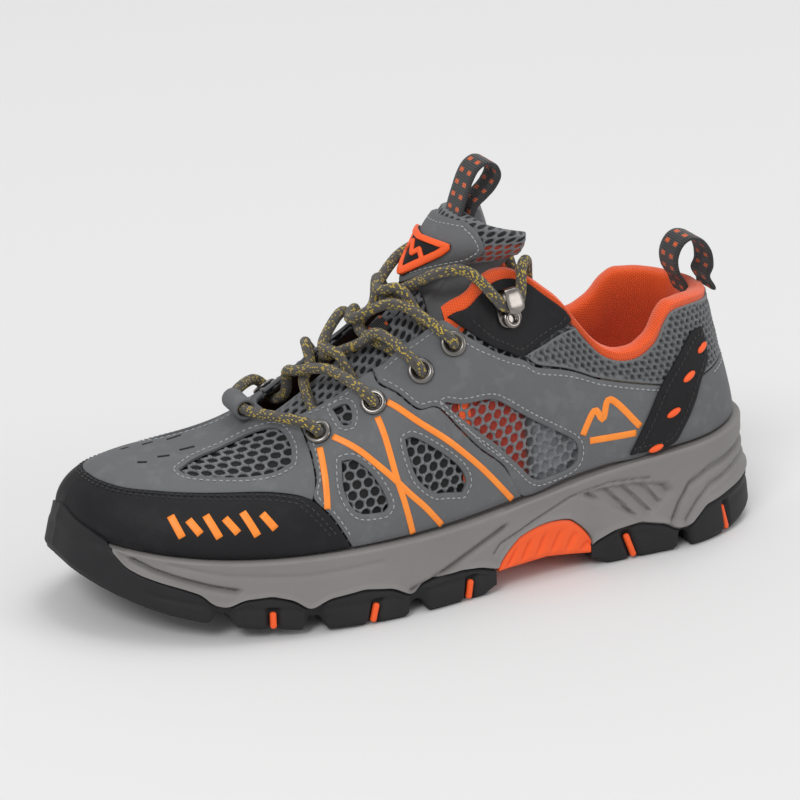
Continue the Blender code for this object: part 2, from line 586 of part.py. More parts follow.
# ---- Tread inserts: orange pads let into the side of each lug -----------------------------------------
INSERT_STATIONS = [5.0, 6.95, 9.1, 13.1, 16.0]
INSERT_HALF = 0.28
INSERT_LOW = 0.12
INSERT_HIGH = 0.27
for side, word in ((LATERAL, "lateral"), (MEDIAL, "medial")):
    for number, k in enumerate(INSERT_STATIONS, 1):
        rings = []
        for kk in (k - INSERT_HALF, k, k + INSERT_HALF):
            inner = float(spline(SOLE_FLARE, kk)) + .35
            rings.append([wall(kk, INSERT_LOW, side, inner), wall(kk, INSERT_LOW, side, inner + .9),
                          wall(kk, INSERT_HIGH, side, inner + .6), wall(kk, INSERT_HIGH, side, inner)])
        loft("lug_insert_%s_%d" % (word, number), rings, "orange_plastic")

# ---- Strobel board and footbed inside the shoe ------------------------------------------------------------
FLOOR_STATIONS = [0.7, 1.2, 2, 3, 4, 5, 6.5, 8, 10, 12, 14, 15.5, 17, 18.3]


def floor_sheet(name, inset, low, high, slot):
    rings = []
    for k in FLOOR_STATIONS:
        a = wall(k, 1, LATERAL, -inset)
        b = wall(k, 1, MEDIAL, -inset)
        rings.append([a + [0, 0, low], a + [0, 0, high], b + [0, 0, high], b + [0, 0, low]])
    loft(name, rings, slot)


floor_sheet("strobel_board", 5.6, 0.4, 1.6, "insole_board")
floor_sheet("footbed", 6.2, 2.0, 5.0, "orange_mesh")

# ---- Collar lining: padded roll over the rim and down the inside ------------------------------------------
RIM_K = [9.3, 9.75, 10.2, 10.65, 11.25, 11.8, 12.3, 12.47, 12.6, 12.8, 13.15, 13.55, 14.05, 14.4, 14.8, 15.5, 16.5,
         17.5, 19]
RIM_T = [.655, .632, .652, .687, .717, .717, .677, .632, .557, .487, .457, .477, .557, .647, .712, .737, .747,
         .752, .752]


def rim(k):
    return float(np.interp(k, RIM_K, RIM_T))


def lining_section(u):
    k = abs(u) if abs(u) <= LAST_STATION else 2 * LAST_STATION - abs(u)
    r = rim(k)
    swell = float(np.interp(k, [9.3, 11, 13, 19], [.35, .6, 1, 1]))
    shape = [(r, -.2), (r + .026, -.7), (r + .04, -2.2 - 2 * swell), (r + .018, -4.6 - 3.4 * swell),
             (r - .09, -4.6 - 4.8 * swell), ((r + .12) / 2, -4.4 - 4 * swell), (.12, -4.6 - 1.4 * swell),
             (.12, -4.0), (r - .1, -4.0), (r, -4.0)]
    return [on_upper(u, t, lift) for t, lift in shape]


side_k = [9.85, 10.2, 10.65, 11.25, 11.8, 12.3, 12.47, 12.6, 12.85, 13.15, 13.55, 14.05, 14.4, 14.8, 15.5, 16.5,
          17.5, 18.5]
walk = side_k + [2 * LAST_STATION - k for k in reversed(side_k)]
loft("collar_lining", [lining_section(u) for u in walk], "orange_mesh")

# ---- Tongue: a lower part under the lacing and a flap above the top crossing ----------------------------
TONGUE_THICK = 2.6


def under_lacing(u, t, lift=0.0):
    """Face of the lower tongue, sunk below the upper so the cord has room over it."""
    t = np.asarray(t, float)
    sink = -7.0 - 3.2 * np.clip((1 - t) / .2, 0, 1) ** 1.2
    return on_upper(u, t, sink + lift)


def tongue_section(k, low_t, thick_low, thick_high):
    """One ring across the tongue at a station, from the lateral edge over the ridge to the medial edge."""
    ts = np.linspace(low_t, 1.0, 5)
    over = [under_lacing(-k, t, thick_high) for t in ts]
    over += [under_lacing(k, t, thick_high) for t in reversed(ts[:-1])]
    under = [under_lacing(k, t, thick_low) for t in ts]
    under += [under_lacing(-k, t, thick_low) for t in reversed(ts[:-1])]
    return over + under


rings = [tongue_section(k, low_t, -TONGUE_THICK, 0.0) for k, low_t in
         ((5.7, .80), (6.2, .70), (6.8, .66), (7.4, .63), (8.0, .61), (8.45, .60), (8.85, .60))]
loft("tongue_lower", rings, "grey_mesh")
rings = [tongue_section(k, .93, .3, .75) for k in (8.3, 8.55, 8.83)]
loft("tongue_facing_lower", rings, "grey_leather")
rings = [tongue_section(k, .90, .35, 1.1) for k in (7.88, 8.02, 8.16)]
loft("lace_keeper", rings, "black_webbing")

FLAP_FLOOR = 122.5
FLAP_RISE = 24.0


def flap(v, angle, lift=0.0):
    """Front face of the flap: v runs 0 (flex line) to 1 (top); the angle turns round to the sides."""
    bend = np.abs(angle) / 90.0
    z = FLAP_FLOOR + 6.0 * bend * (1 - v) + v * (FLAP_RISE - 7.0 * bend ** 2)
    nose = float(np.interp(z, [115, 124.5, 136, 146, 150], [-6.0, -1.0, 6.5, 17.5, 22]))
    deep = float(np.interp(z, [122, 130, 136, 142, 147], [34, 37, 33, 25, 12]))
    wide = float(np.interp(z, [122, 126, 130, 136, 142, 147], [12, 14.5, 19, 23.5, 25, 23]))
    a = np.radians(angle)
    normal = np.array([-np.cos(a) / deep, np.sin(a) / wide, .55 * np.cos(a) / deep])
    normal /= np.linalg.norm(normal)
    return np.array([nose + deep * (1 - np.cos(a)), wide * np.sin(a), z]) + normal * lift


def flap_sheet(name, angles, levels, low, high, slot):
    rings = []
    for v in levels:
        inner = low * min(1.0, .55 + 1.2 * v)
        rings.append([flap(v, a, high) for a in angles] + [flap(v, a, inner) for a in reversed(angles)])
    loft(name, rings, slot, TONGUE_FLEX)


flap_sheet("tongue_pad", [-92, -70, -45, -20, 0, 20, 45, 70, 92], [0, .3, .6, .85, 1], -7.5, -.4, "grey_mesh")
flap_sheet("tongue_facing_upper", [-62, -45, -30, -15, 0, 15, 30, 45, 62], [.01, .3, .6, .8, .93], 0, 1.2,
           "grey_leather")
flap_sheet("tongue_badge", [-30, -15, 0, 15, 30], [.1, .3, .6, .7], 2.5, 3.8, "orange_plastic")


# ---- Pull loops: folded webbing at the tongue top and at the heel ------------------------------------------
def webbing_loop(name, path, half_width, thick, pivot):
    """A flat strap bent along a path in the X-Z plane, open at the foot."""
    pts = [np.array(p, float) for p in path]
    rings = []
    for i, p in enumerate(pts):
        before = pts[max(i - 1, 0)]
        after = pts[min(i + 1, len(pts) - 1)]
        d = (after - before) / np.linalg.norm(after - before)
        n = np.array([-d[1], d[0]]) * thick / 2
        rings.append([np.array([p[0] + n[0], -half_width, p[1] + n[1]]),
                      np.array([p[0] + n[0], half_width, p[1] + n[1]]),
                      np.array([p[0] - n[0], half_width, p[1] - n[1]]),
                      np.array([p[0] - n[0], -half_width, p[1] - n[1]])])
    return loft(name, rings, "black_webbing", pivot)


TONGUE_LOOP = [(19.6, 148.2), (21.2, 153), (23.0, 158), (25.8, 162.5), (30.0, 164.6), (34.0, 162.6), (35.2, 158.6),
               (32.8, 154.2), (29.0, 150.6), (25.6, 147.8)]
HEEL_LOOP = [(120.4, 103.0), (117.0, 108), (116.0, 114), (118.2, 119.4), (122.5, 121.8), (127.5, 120.2),
             (131.4, 115.4), (132.6, 109), (131.2, 104.5)]
webbing_loop("tongue_pull_loop", TONGUE_LOOP, 7.0, 1.5, TONGUE_LOOP_SEAM)
webbing_loop("heel_pull_loop", HEEL_LOOP, 7.5, 1.6, HEEL_LOOP_SEAM)
outline = [(18.35, .49), (18.35, .74), (19, .74), (19.65, .74), (19.65, .49), (19, .47)]
panel("heel_loop_tab", outline, *OVERLAY, "black_webbing")

# ---- Throat loop: a folded leather tab that carries the middle of the cord --------------------------------
TURN_STEPS = 12
LOOP_AXIS = on_upper(5.42, 1.0, 5.9)
LOOP_PROFILE = [(LOOP_BORE, LOOP_HALF), (LOOP_BORE + LOOP_WALL, LOOP_HALF), (LOOP_BORE + LOOP_WALL, -LOOP_HALF),
                (LOOP_BORE, -LOOP_HALF)]
across_shoe = standing(LOOP_AXIS, (0.0, 0.0, 1.0), (0.0, 1.0, 0.0))
turned("throat_loop", LOOP_PROFILE, TURN_STEPS, across_shoe, "grey_leather")

# ---- Eyelets: turned flange and barrel, four on each side ---------------------------------------------------
EYELET_PROFILE = [(2.8, 1.0), (4.6, 1.2), (5.0, .35), (3.3, .35), (3.3, -3.6), (2.8, -3.6)]


def frame_at(u, t):
    """Centre, along-the-shoe, toward-the-throat and outward directions at a spot on the upper."""
    n = outward(u, t)
    up = last(u, t + .02) - last(u, t - .02)
    up -= n * (up @ n)
    up /= np.linalg.norm(up)
    along = np.array([1.0, 0, 0])
    along -= n * (along @ n) + up * (along @ up)
    along /= np.linalg.norm(along)
    return last(u, t), along, up, n


for side, word in ((LATERAL, "lateral"), (MEDIAL, "medial")):
    for number, (k, t) in enumerate(EYELETS, 1):
        c, along, up, n = frame_at(side * k, t)
        turned("eyelet_%s_%d" % (word, number), EYELET_PROFILE, TURN_STEPS, standing(c, up, n), "gunmetal")

# ---- Lace hooks: plate, neck and lip bent from one strip, with a domed rivet -------------------------------
HOOK_PATH = [(-11, 1.15, 3.0), (-8, 1.15, 5.2), (-4, 1.15, 5.4), (0, 1.15, 5.0), (2.6, 1.2, 3.6), (3.9, 2.2, 3.0),
             (4.1, 5.6, 3.0), (3.0, 7.1, 3.4), (-.6, 7.4, 4.0), (-4.0, 7.2, 3.8), (-6.2, 6.1, 2.4)]
HOOK_THICK = 0.9
RIVET_PROFILE = [(0.0, 3.1), (2.4, 3.1), (3.2, 2.6), (3.2, 1.95), (0.0, 1.95)]
RIVET_BELOW_HOOK = 7.6
for side, word in ((LATERAL, "lateral"), (MEDIAL, "medial")):
    c, along, up, n = frame_at(side * HOOK_SPOT[0], HOOK_SPOT[1])
    rings = []
    for i, (b, z, half) in enumerate(HOOK_PATH):
        before = np.array(HOOK_PATH[max(i - 1, 0)][:2])
        after = np.array(HOOK_PATH[min(i + 1, len(HOOK_PATH) - 1)][:2])
        d = (after - before) / np.linalg.norm(after - before)
        m = np.array([-d[1], d[0]]) * HOOK_THICK / 2
        ring = []
        for a, s in ((-half, 1), (half, 1), (half, -1), (-half, -1)):
            ring.append(c + along * a + up * (b + m[0] * s) + n * (z + m[1] * s))
        rings.append(ring)
    loft("hook_" + word, rings, "gunmetal")
    seat = standing(c - up * RIVET_BELOW_HOOK, up, n)
    turned("hook_rivet_" + word, RIVET_PROFILE, TURN_STEPS, seat, "gunmetal")

# ---- Lace: one round cord through the throat loop, the eyelets and the hooks --------------------------------
LOW_CROSS = -2.2
HIGH_CROSS = 2.9
CROSSINGS = [6.62, 7.2, 7.8, 8.42]


def through_eyelet(u, t, came_from, goes_to):
    """Down the axis of one eyelet, arriving over its flange and leaving below toward the throat."""
    c, along, up, n = frame_at(u, t)

    def toward(target):
        d = target - c
        d -= n * (d @ n)
        return d / np.linalg.norm(d)

    arrive = toward(came_from)
    leave = toward(goes_to)
    return [c + arrive * 3.7 + n * 4.9, c + n * 1.9, c + n * -4.5, c + leave * 3.9 + n * -6.9,
            c + leave * 12.5 + n * -7.4]


def half_lace(start_side):
    """One half of the cord, from the throat loop to the end tucked inside the collar."""
    path = [LOOP_AXIS + np.array([0.3, start_side * 7.5, 0])]
    came_from = path[0]
    side = start_side
    for row, (k, t) in enumerate(EYELETS):
        cross = CROSSINGS[row]
        over = (side > 0) == (row % 2 == 0)
        ridge = on_upper(side * cross, .998, HIGH_CROSS if over else LOW_CROSS)
        path += through_eyelet(side * k, t, came_from, ridge)
        k_next = EYELETS[row + 1][0] if row < 3 else 10.0
        near = cross + (k_next - cross) * .33
        far = cross + (k_next - cross) * .62
        if over:
            path.append(on_upper(side * (cross + (k - cross) * .3), .90, HIGH_CROSS - 1.0))
            path.append(ridge)
            path.append(on_upper(-side * (near + far) / 2, .84, 3.8))
        else:
            path.append(ridge)
            path.append(on_upper(-side * near, .90, LOW_CROSS - .1))
            path.append(on_upper(-side * far, .80, 3.4))
        came_from = path[-1]
        side = -side
    path.append(on_upper(side * 9.9, .735, 3.3))
    c, along, up, n = frame_at(side * HOOK_SPOT[0], HOOK_SPOT[1])
    for a, b, z in ((-6.3, 2.2, 4.2), (-3.6, -2.0, 4.25), (3.6, -2.0, 4.25), (6.4, 2.2, 4.2)):
        path.append(c + along * a + up * b + n * z)
    for k, t, lift in ((11.5, .775, 2.3), (11.8, .835, -5.5), (11.85, .72, -12.8), (11.85, .5, -13.4)):
        path.append(on_upper(side * k, t, lift))
    return path, side


def cord(name, path, radius, slot):
    """A round cord: a curve through the path with a round bevel and filled ends."""
    data = bpy.data.curves.new(name, "CURVE")
    data.dimensions = "3D"
    data.bevel_depth = radius * MM
    data.bevel_resolution = 2
    data.use_fill_caps = True
    run = data.splines.new("POLY")
    run.points.add(len(path) - 1)
    for point, spot in zip(run.points, path):
        point.co = (*placed_at(spot), 1.0)
    data.materials.append(material(slot))
    made = bpy.data.objects.new(name, data)
    BODY.objects.link(made)
    return made


first, first_side = half_lace(LATERAL)
second, second_side = half_lace(MEDIAL)
cord("lace", list(reversed(first)) + second, LACE_RADIUS, "lace_textile")
for path, side in ((first, first_side), (second, second_side)):
    d = path[-1] - path[-2]
    d /= np.linalg.norm(d)
    word = "lateral" if side < 0 else "medial"
    tip = [path[-1] + d * TIP_GAP, path[-1] + d * (TIP_GAP + TIP_LENGTH)]
    cord("lace_tip_" + word, tip, TIP_RADIUS, "lace_tip_plastic")
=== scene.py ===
import bmesh
import bpy
import numpy as np
from mathutils import Matrix, Vector, geometry, kdtree


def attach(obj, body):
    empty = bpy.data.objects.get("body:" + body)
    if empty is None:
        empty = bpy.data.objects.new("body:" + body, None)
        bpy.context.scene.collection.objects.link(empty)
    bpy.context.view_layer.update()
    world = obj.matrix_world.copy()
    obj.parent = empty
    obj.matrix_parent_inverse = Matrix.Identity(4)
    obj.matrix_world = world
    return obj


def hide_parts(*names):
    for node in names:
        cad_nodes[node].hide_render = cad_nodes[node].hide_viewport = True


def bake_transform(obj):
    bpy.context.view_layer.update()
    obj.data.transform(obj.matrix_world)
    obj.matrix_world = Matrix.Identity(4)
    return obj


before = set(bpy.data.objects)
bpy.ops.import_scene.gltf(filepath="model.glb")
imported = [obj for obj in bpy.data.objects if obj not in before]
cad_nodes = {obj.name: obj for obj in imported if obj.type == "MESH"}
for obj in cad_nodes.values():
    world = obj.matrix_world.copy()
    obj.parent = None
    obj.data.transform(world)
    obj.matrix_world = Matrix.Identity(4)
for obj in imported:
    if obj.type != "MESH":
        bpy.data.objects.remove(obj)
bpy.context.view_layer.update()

# ---- Camera --------------------------------------------------------------------------------------
# A long lens well back from the shoe, a little above it and in front of its outer side.
MM = 0.001
CAMERA_TURN = np.radians(-24.41)
CAMERA_RISE = np.radians(21.34)
CAMERA_AWAY = 1.20973
AIM = np.array([-0.002, 0.0009, 0.050])
BACK = np.array([np.sin(CAMERA_TURN) * np.cos(CAMERA_RISE), -np.cos(CAMERA_TURN) * np.cos(CAMERA_RISE),
                 np.sin(CAMERA_RISE)])
camera_data = bpy.data.cameras.new("camera")
camera_data.lens = 135.1
camera_data.sensor_width = 36.0
camera_data.shift_x = -0.0139
camera_data.shift_y = 0.0527
camera_data.clip_end = 20.0
camera = bpy.data.objects.new("camera", camera_data)
bpy.context.scene.collection.objects.link(camera)
camera.location = AIM + BACK * CAMERA_AWAY
camera.rotation_euler = Vector(BACK).to_track_quat("Z", "Y").to_euler()
bpy.context.scene.camera = camera

# ---- Floor and light -----------------------------------------------------------------------------
# A plain pale floor under broad soft lamps, with the sky filling in.
FLOOR_SIZE = 12.0


def unpick():
    """Nothing selected, so that an operator acts on its own new piece alone."""
    bpy.ops.object.select_all(action="DESELECT")


unpick()
bpy.ops.mesh.primitive_plane_add(size=FLOOR_SIZE, location=(0, 0, -0.0004))
floor = bpy.context.active_object
floor.name = "floor"
floor_finish = bpy.data.materials.new("pale_floor")
floor_finish.use_nodes = True
floor_finish.node_tree.nodes["Principled BSDF"].inputs["Base Color"].default_value = (0.71, 0.71, 0.71, 1)
floor_finish.node_tree.nodes["Principled BSDF"].inputs["Roughness"].default_value = 0.9
floor_finish.node_tree.nodes["Principled BSDF"].inputs["Specular IOR Level"].default_value = 0.1
floor.data.materials.append(floor_finish)

world = bpy.data.worlds.new("studio")
bpy.context.scene.world = world
world.use_nodes = True
world.node_tree.nodes["Background"].inputs["Color"].default_value = (1.0, 1.0, 1.0, 1)
world.node_tree.nodes["Background"].inputs["Strength"].default_value = 0.66
bpy.context.scene.view_settings.view_transform = "Standard"


def lamp(name, place, size, watts):
    """A square soft lamp turned to the shoe."""
    data = bpy.data.lights.new(name, "AREA")
    data.size = size
    data.energy = watts
    made = bpy.data.objects.new(name, data)
    bpy.context.scene.collection.objects.link(made)
    made.location = place
    made.rotation_euler = (Vector(place) - Vector((0, 0, 0.06))).to_track_quat("Z", "Y").to_euler()


lamp("key_lamp", (-2.6, -2.4, 3.4), 1.6, 88)
lamp("top_lamp", (1.2, 0.7, 4.5), 2.6, 60)
lamp("side_lamp", (3.4, -2.8, 1.6), 1.5, 30)

# ---- Shader tools --------------------------------------------------------------------------------
# A finish is written as sums and products of values; each becomes the node that works it out.


class Value:
    """One output in a node tree, with arithmetic that adds Math nodes."""

    def __init__(self, finish, socket):
        self.finish = finish
        self.socket = socket

    def math(self, operation, *others):
        return self.finish.node("ShaderNodeMath", {"operation": operation}, (self, *others))

    def __add__(self, other):
        return self.math("ADD", other)

    def __sub__(self, other):
        return self.math("SUBTRACT", other)

    def __rsub__(self, other):
        return self.finish.node("ShaderNodeMath", {"operation": "SUBTRACT"}, (other, self))

    def __mul__(self, other):
        return self.math("MULTIPLY", other)

    def __truediv__(self, other):
        return self.math("DIVIDE", other)

    __radd__ = __add__
    __rmul__ = __mul__

    def above(self, edge, soft=0.05):
        """0 below the edge and 1 above it, with a soft step."""
        return self.finish.node("ShaderNodeMapRange", {"interpolation_type": "SMOOTHSTEP"},
                                (self, edge - soft, edge + soft, 0.0, 1.0))


class Finish:
    """A material in the making."""

    def __init__(self, name, rough, metallic=0.0, specular=0.5, sheen=0.0):
        self.material = bpy.data.materials.new(name)
        self.material.use_nodes = True
        self.tree = self.material.node_tree
        self.shader = self.tree.nodes["Principled BSDF"]
        self.shader.inputs["Metallic"].default_value = metallic
        self.shader.inputs["Roughness"].default_value = rough
        self.shader.inputs["Specular IOR Level"].default_value = specular
        self.shader.inputs["Sheen Weight"].default_value = sheen
        self.place = self.node("ShaderNodeTexCoord", {}, (), "Object")

    def put(self, socket, value):
        if isinstance(value, Value):
            self.tree.links.new(value.socket, socket)
        elif isinstance(value, tuple) and len(value) == 3 and socket.type == "RGBA":
            socket.default_value = (*value, 1.0)
        else:
            socket.default_value = value

    def node(self, kind, settings, values=(), out=0, **named):
        made = self.tree.nodes.new(kind)
        for key, value in settings.items():
            setattr(made, key, value)
        for socket, value in zip(made.inputs, values):
            if value is not None:
                self.put(socket, value)
        for key, value in named.items():
            self.put(made.inputs[key], value)
        return Value(self, made.outputs[out])

    def noise(self, scale, detail):
        return self.node("ShaderNodeTexNoise", {}, (), "Fac", Vector=self.place, Scale=scale, Detail=detail)

    def cells(self, scale):
        return self.node("ShaderNodeTexVoronoi", {"feature": "F1"}, (), "Distance", Vector=self.place,
                         Scale=scale)

    def attribute(self, name):
        return self.node("ShaderNodeAttribute", {"attribute_name": name}, (), "Fac")

    def mix(self, share, low, high):
        made = self.tree.nodes.new("ShaderNodeMix")
        made.data_type = "RGBA"
        self.put(made.inputs[0], share)
        self.put(made.inputs[6], low)
        self.put(made.inputs[7], high)
        return Value(self, made.outputs[2])

    def paint(self, colour, rough=None):
        self.put(self.shader.inputs["Base Color"], colour)
        if rough is not None:
            self.put(self.shader.inputs["Roughness"], rough)

    def emboss(self, height, depth, strength=1.0):
        """Bump from a height that runs about 0 to 1, depth metres deep."""
        bump = self.node("ShaderNodeBump", {}, (), "Normal", Height=height, Strength=strength,
                         Distance=depth)
        self.tree.links.new(bump.socket, self.shader.inputs["Normal"])
        return self.material


# ---- The last ------------------------------------------------------------------------------------
# The shoe is built on a left last. One rib per station, from the feather line at the sole up to the
# ridge; station 0 is the toe tip and 19 the middle of the heel. Every sewn piece follows this surface.
FEATHER_LATERAL = [(-144, 10), (-141, -5), (-132, -19), (-118, -31), (-100, -40), (-80, -45.5), (-60, -48),
                   (-40, -48.5), (-20, -47.5), (0, -45), (20, -42), (40, -39.5), (60, -37.5), (80, -36.5),
                   (100, -35.5), (115, -33), (128, -27), (138, -18.5), (143.5, -9.5), (145, 0)]
FEATHER_MEDIAL = [(-144, 10), (-143, 21), (-136, 31), (-123, 39), (-104, 44), (-82, 46.5), (-61, 46),
                  (-40, 43.5), (-20, 40), (0, 36), (20, 32.5), (40, 30.5), (60, 30.5), (80, 32), (100, 33),
                  (115, 31.5), (128, 26.5), (138, 18.5), (143.5, 9.5), (145, 0)]
FEATHER_HEIGHT = [37, 36.3, 35, 33.2, 31.6, 30.5, 30, 30, 30.3, 31.2, 33, 35.8, 39, 41.5, 43.2, 44.2, 45,
                  45.8, 46.4, 46.7]
TOP_X = [-117, -116, -112, -105, -94, -77, -58, -39, -20, -2, 13, 28, 44, 64, 86, 103, 117, 124.5, 127.5,
         128]
TOP_Y_LATERAL = [9, 9, 9, 9, 8, 7, 5, 3, 1, 0, -2, -9, -18, -25, -27, -25, -19, -12, -5, 0]
TOP_Y_MEDIAL = [9, 9, 9, 9, 8, 7, 5, 3, 1, 0, 2, 9, 18, 24, 26, 24, 19, 12, 5, 0]
TOP_HEIGHT = [61, 61, 61, 61.4, 63, 67, 76, 90, 107, 124, 137, 142, 138, 133, 128, 124, 121, 119, 118.5,
              118]
RISE_SHARE = [.50, .50, .52, .55, .55, .52, .50, .48, .46, .45, .45, .45, .45, .4, .36, .34, .32, .3, .3,
              .3]
SIDE_BULGE = [-3, -3, -3, -3, -3, -3, -3, -3, -2.5, -2, -1, -1, -1, -2, -3, -2, 0, 2, 4, 5]
TOP_REACH = [.62, .62, .62, .60, .58, .58, .58, .58, .58, .60, .60, .45, .3, .2, .2, .2, .2, .2, .2, .2]
TOE_SPRING = [25, 22.5, 17.5, 12, 7.5, 4, 1.5, .3, 0, 0, 0, 0, 0, 0, 0, 0, .5, 2, 4, 5]
SOLE_FLARE = [6, 6, 6, 6.5, 7, 7, 7, 6.8, 6.2, 5.5, 4.8, 4.2, 3.8, 3.8, 4, 4.6, 5.5, 7, 8.5, 9]
SOLE_RIM = 3.0
LAST_STATION = 19.0
RECENTRE = np.array([-2.0, 0.9, 0.0])
LATERAL = -1
MEDIAL = 1
SIDES = ((LATERAL, "lateral"), (MEDIAL, "medial"))


def spline(table, station):
    """Catmull-Rom through a table with one value per station."""
    v = np.asarray(table, float)
    n = len(v)
    s = np.clip(np.asarray(station, float), 0, n - 1)
    i = np.minimum(s.astype(int), n - 2)
    f = s - i

    def entry(j):
        low = 2 * v[0] - v[np.clip(-j, 0, n - 1)]
        high = 2 * v[n - 1] - v[np.clip(2 * (n - 1) - j, 0, n - 1)]
        return np.where(j < 0, low, np.where(j > n - 1, high, v[np.clip(j, 0, n - 1)]))

    a, b, c, d = entry(i - 1), entry(i), entry(i + 1), entry(i + 2)
    bend = 2 * a - 5 * b + 4 * c - d
    return .5 * (2 * b + (c - a) * f + bend * f * f + (3 * b - a - 3 * c + d) * f ** 3)


def curve(points, place):
    """The same spline through a table of points, column by column."""
    p = np.asarray(points, float)
    return np.stack([spline(p[:, column], place) for column in range(p.shape[1])], -1)


def unit(v):
    return v / np.maximum(np.linalg.norm(v, axis=-1, keepdims=True), 1e-9)


def travelled(points):
    """Distance from the first point of a line to each of its points."""
    return np.concatenate([[0], np.cumsum(np.linalg.norm(np.diff(points, axis=0), axis=1))])


def at_distances(line, run, distances):
    """Points of a line at given distances along it."""
    return np.stack([np.interp(distances, run, line[:, column]) for column in range(line.shape[1])], -1)


def last(u, t):
    """Point on the upper: u is the station, negative on the lateral side; t runs 0 (feather) to 1 (ridge)."""
    u, t = np.broadcast_arrays(np.asarray(u, float), np.asarray(t, float))
    k = np.abs(u)
    beyond = k > LAST_STATION
    k = np.where(beyond, 2 * LAST_STATION - k, k)
    lateral = (u < 0) != beyond
    plan = np.where(lateral[..., None], curve(FEATHER_LATERAL, k), curve(FEATHER_MEDIAL, k))
    ty = np.where(lateral, spline(TOP_Y_LATERAL, k), spline(TOP_Y_MEDIAL, k))
    foot = np.stack([plan[..., 0], plan[..., 1], spline(FEATHER_HEIGHT, k)], -1)
    top = np.stack([spline(TOP_X, k), ty, spline(TOP_HEIGHT, k)], -1)
    away = foot - top
    away[..., 2] = 0
    reach = np.linalg.norm(away, axis=-1, keepdims=True)
    away = away / np.maximum(reach, 1e-6)
    up = np.zeros_like(foot)
    up[..., 2] = 1
    rise = (top - foot)[..., 2:3]
    low = foot + up * spline(RISE_SHARE, k)[..., None] * rise - away * spline(SIDE_BULGE, k)[..., None]
    high = top + away * reach * spline(TOP_REACH, k)[..., None]
    ankle = np.clip((k - 10) / 2.5, 0, 1)[..., None]
    high = high * (1 - ankle) + (top - up * 0.35 * rise + away) * ankle
    t = t[..., None]
    return (1 - t) ** 3 * foot + 3 * (1 - t) ** 2 * t * low + 3 * (1 - t) * t * t * high + t ** 3 * top


def outward(u, t):
    """Unit outward normal of the upper; near the ridge it turns to the ridge's own normal."""
    u, t = np.broadcast_arrays(np.asarray(u, float), np.asarray(t, float))
    k = np.abs(u)
    mirrored = np.minimum(k, 2 * LAST_STATION - k)
    tt = np.minimum(t, 0.93)
    n = unit(np.cross(last(u + 0.1, tt) - last(u - 0.1, tt), last(u, tt + 0.02) - last(u, tt - 0.02)))
    core = np.stack([spline(TOP_X, mirrored) + 0 * t, 0 * t, 20 + 0 * t], -1)
    n = np.where((n * (last(u, tt) - core)).sum(-1, keepdims=True) < 0, -n, n)
    tx = spline(TOP_X, k + .4) - spline(TOP_X, np.maximum(k - .4, 0))
    tz = spline(TOP_HEIGHT, k + .4) - spline(TOP_HEIGHT, np.maximum(k - .4, 0))
    crest = unit(np.stack([-tz, 0 * tz, tx], -1))
    share = np.clip((t - 0.86) / 0.14, 0, 1)[..., None] * (k < 10)[..., None]
    return unit(n * (1 - share) + crest * share)


def on_upper(u, t, lift=0.0):
    return last(u, t) + outward(u, t) * np.asarray(lift, float)[..., None]


def frame_at(u, t):
    """Centre, along-the-shoe, toward-the-throat and outward directions at a spot on the upper."""
    n = outward(u, t)
    up = last(u, t + .02) - last(u, t - .02)
    up = unit(up - n * (up @ n))
    along = np.array([1.0, 0, 0])
    along = unit(along - n * (along @ n) - up * (along @ up))
    return last(u, t), along, up, n


MERGE_WITHIN = 2e-6
SMOOTH_ALL = 180


def piece(name, points, faces, finish, body="shoe", smooth=35.0, values=None, merge=False):
    """A mesh object from points in millimetres on the last, smoothed, riding on a body."""
    mesh = bpy.data.meshes.new(name)
    mesh.from_pydata(((np.asarray(points, float) + RECENTRE) * MM).tolist(), [], faces)
    for key, numbers in (values or {}).items():
        layer = mesh.attributes.new(key, "FLOAT", "POINT")
        layer.data.foreach_set("value", np.asarray(numbers, np.float32))
    made = bpy.data.objects.new(name, mesh)
    bpy.context.scene.collection.objects.link(made)
    mesh.materials.append(finish)
    work = bmesh.new()
    work.from_mesh(mesh)
    if merge:
        bmesh.ops.remove_doubles(work, verts=work.verts, dist=MERGE_WITHIN)
        bmesh.ops.dissolve_degenerate(work, edges=work.edges, dist=MERGE_WITHIN)
    bmesh.ops.recalc_face_normals(work, faces=work.faces)
    work.to_mesh(mesh)
    work.free()
    mesh.shade_smooth()
    if smooth < SMOOTH_ALL:
        mesh.set_sharp_from_angle(angle=np.radians(smooth))
    if body:
        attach(made, body)
    return made


def ring_faces(count, total, closed_path=False, caps=True):
    """Quads through rings of equal count, with the two ends capped."""
    faces = []
    for s in range(total if closed_path else total - 1):
        nxt = (s + 1) % total
        for i in range(count):
            j = (i + 1) % count
            faces.append((s * count + i, s * count + j, nxt * count + j, nxt * count + i))
    if caps and not closed_path:
        faces.append(tuple(reversed(range(count))))
        faces.append(tuple(range((total - 1) * count, total * count)))
    return faces


# ---- Outsole -------------------------------------------------------------------------------------
# Moulded black rubber with deep lugs, a rand that climbs over the toe, and a separate heel unit.
# Both are pressed in one piece each and cemented under the foam.
RUBBER_TOP_K = [0, 1.2, 1.7, 2.0, 2.3, 2.6, 3.0, 3.4, 3.75, 3.95, 4.2, 4.5, 5.0, 5.4, 5.7, 6.1, 6.8, 7.4,
                7.8, 8.2, 8.9, 9.4, 9.75, 10, 12, 12.1, 12.6, 13.2, 13.8, 14.1, 14.5, 15, 16, 17.2, 18, 19]
RUBBER_TOP_H = [1.62, 1.30, 1.12, .93, .70, .62, .57, .53, .47, .32, .30, .44, .50, .43, .28, .42, .48, .42,
                .27, .40, .43, .38, .30, .25, .20, .26, .34, .36, .28, .20, .20, .36, .40, .41, .42, .42]
LUG_GAPS = [4.1, 5.8, 7.95, 14.35]
LUG_GAP_HALF = 0.19
LUG_GAP_DEEP = 0.16
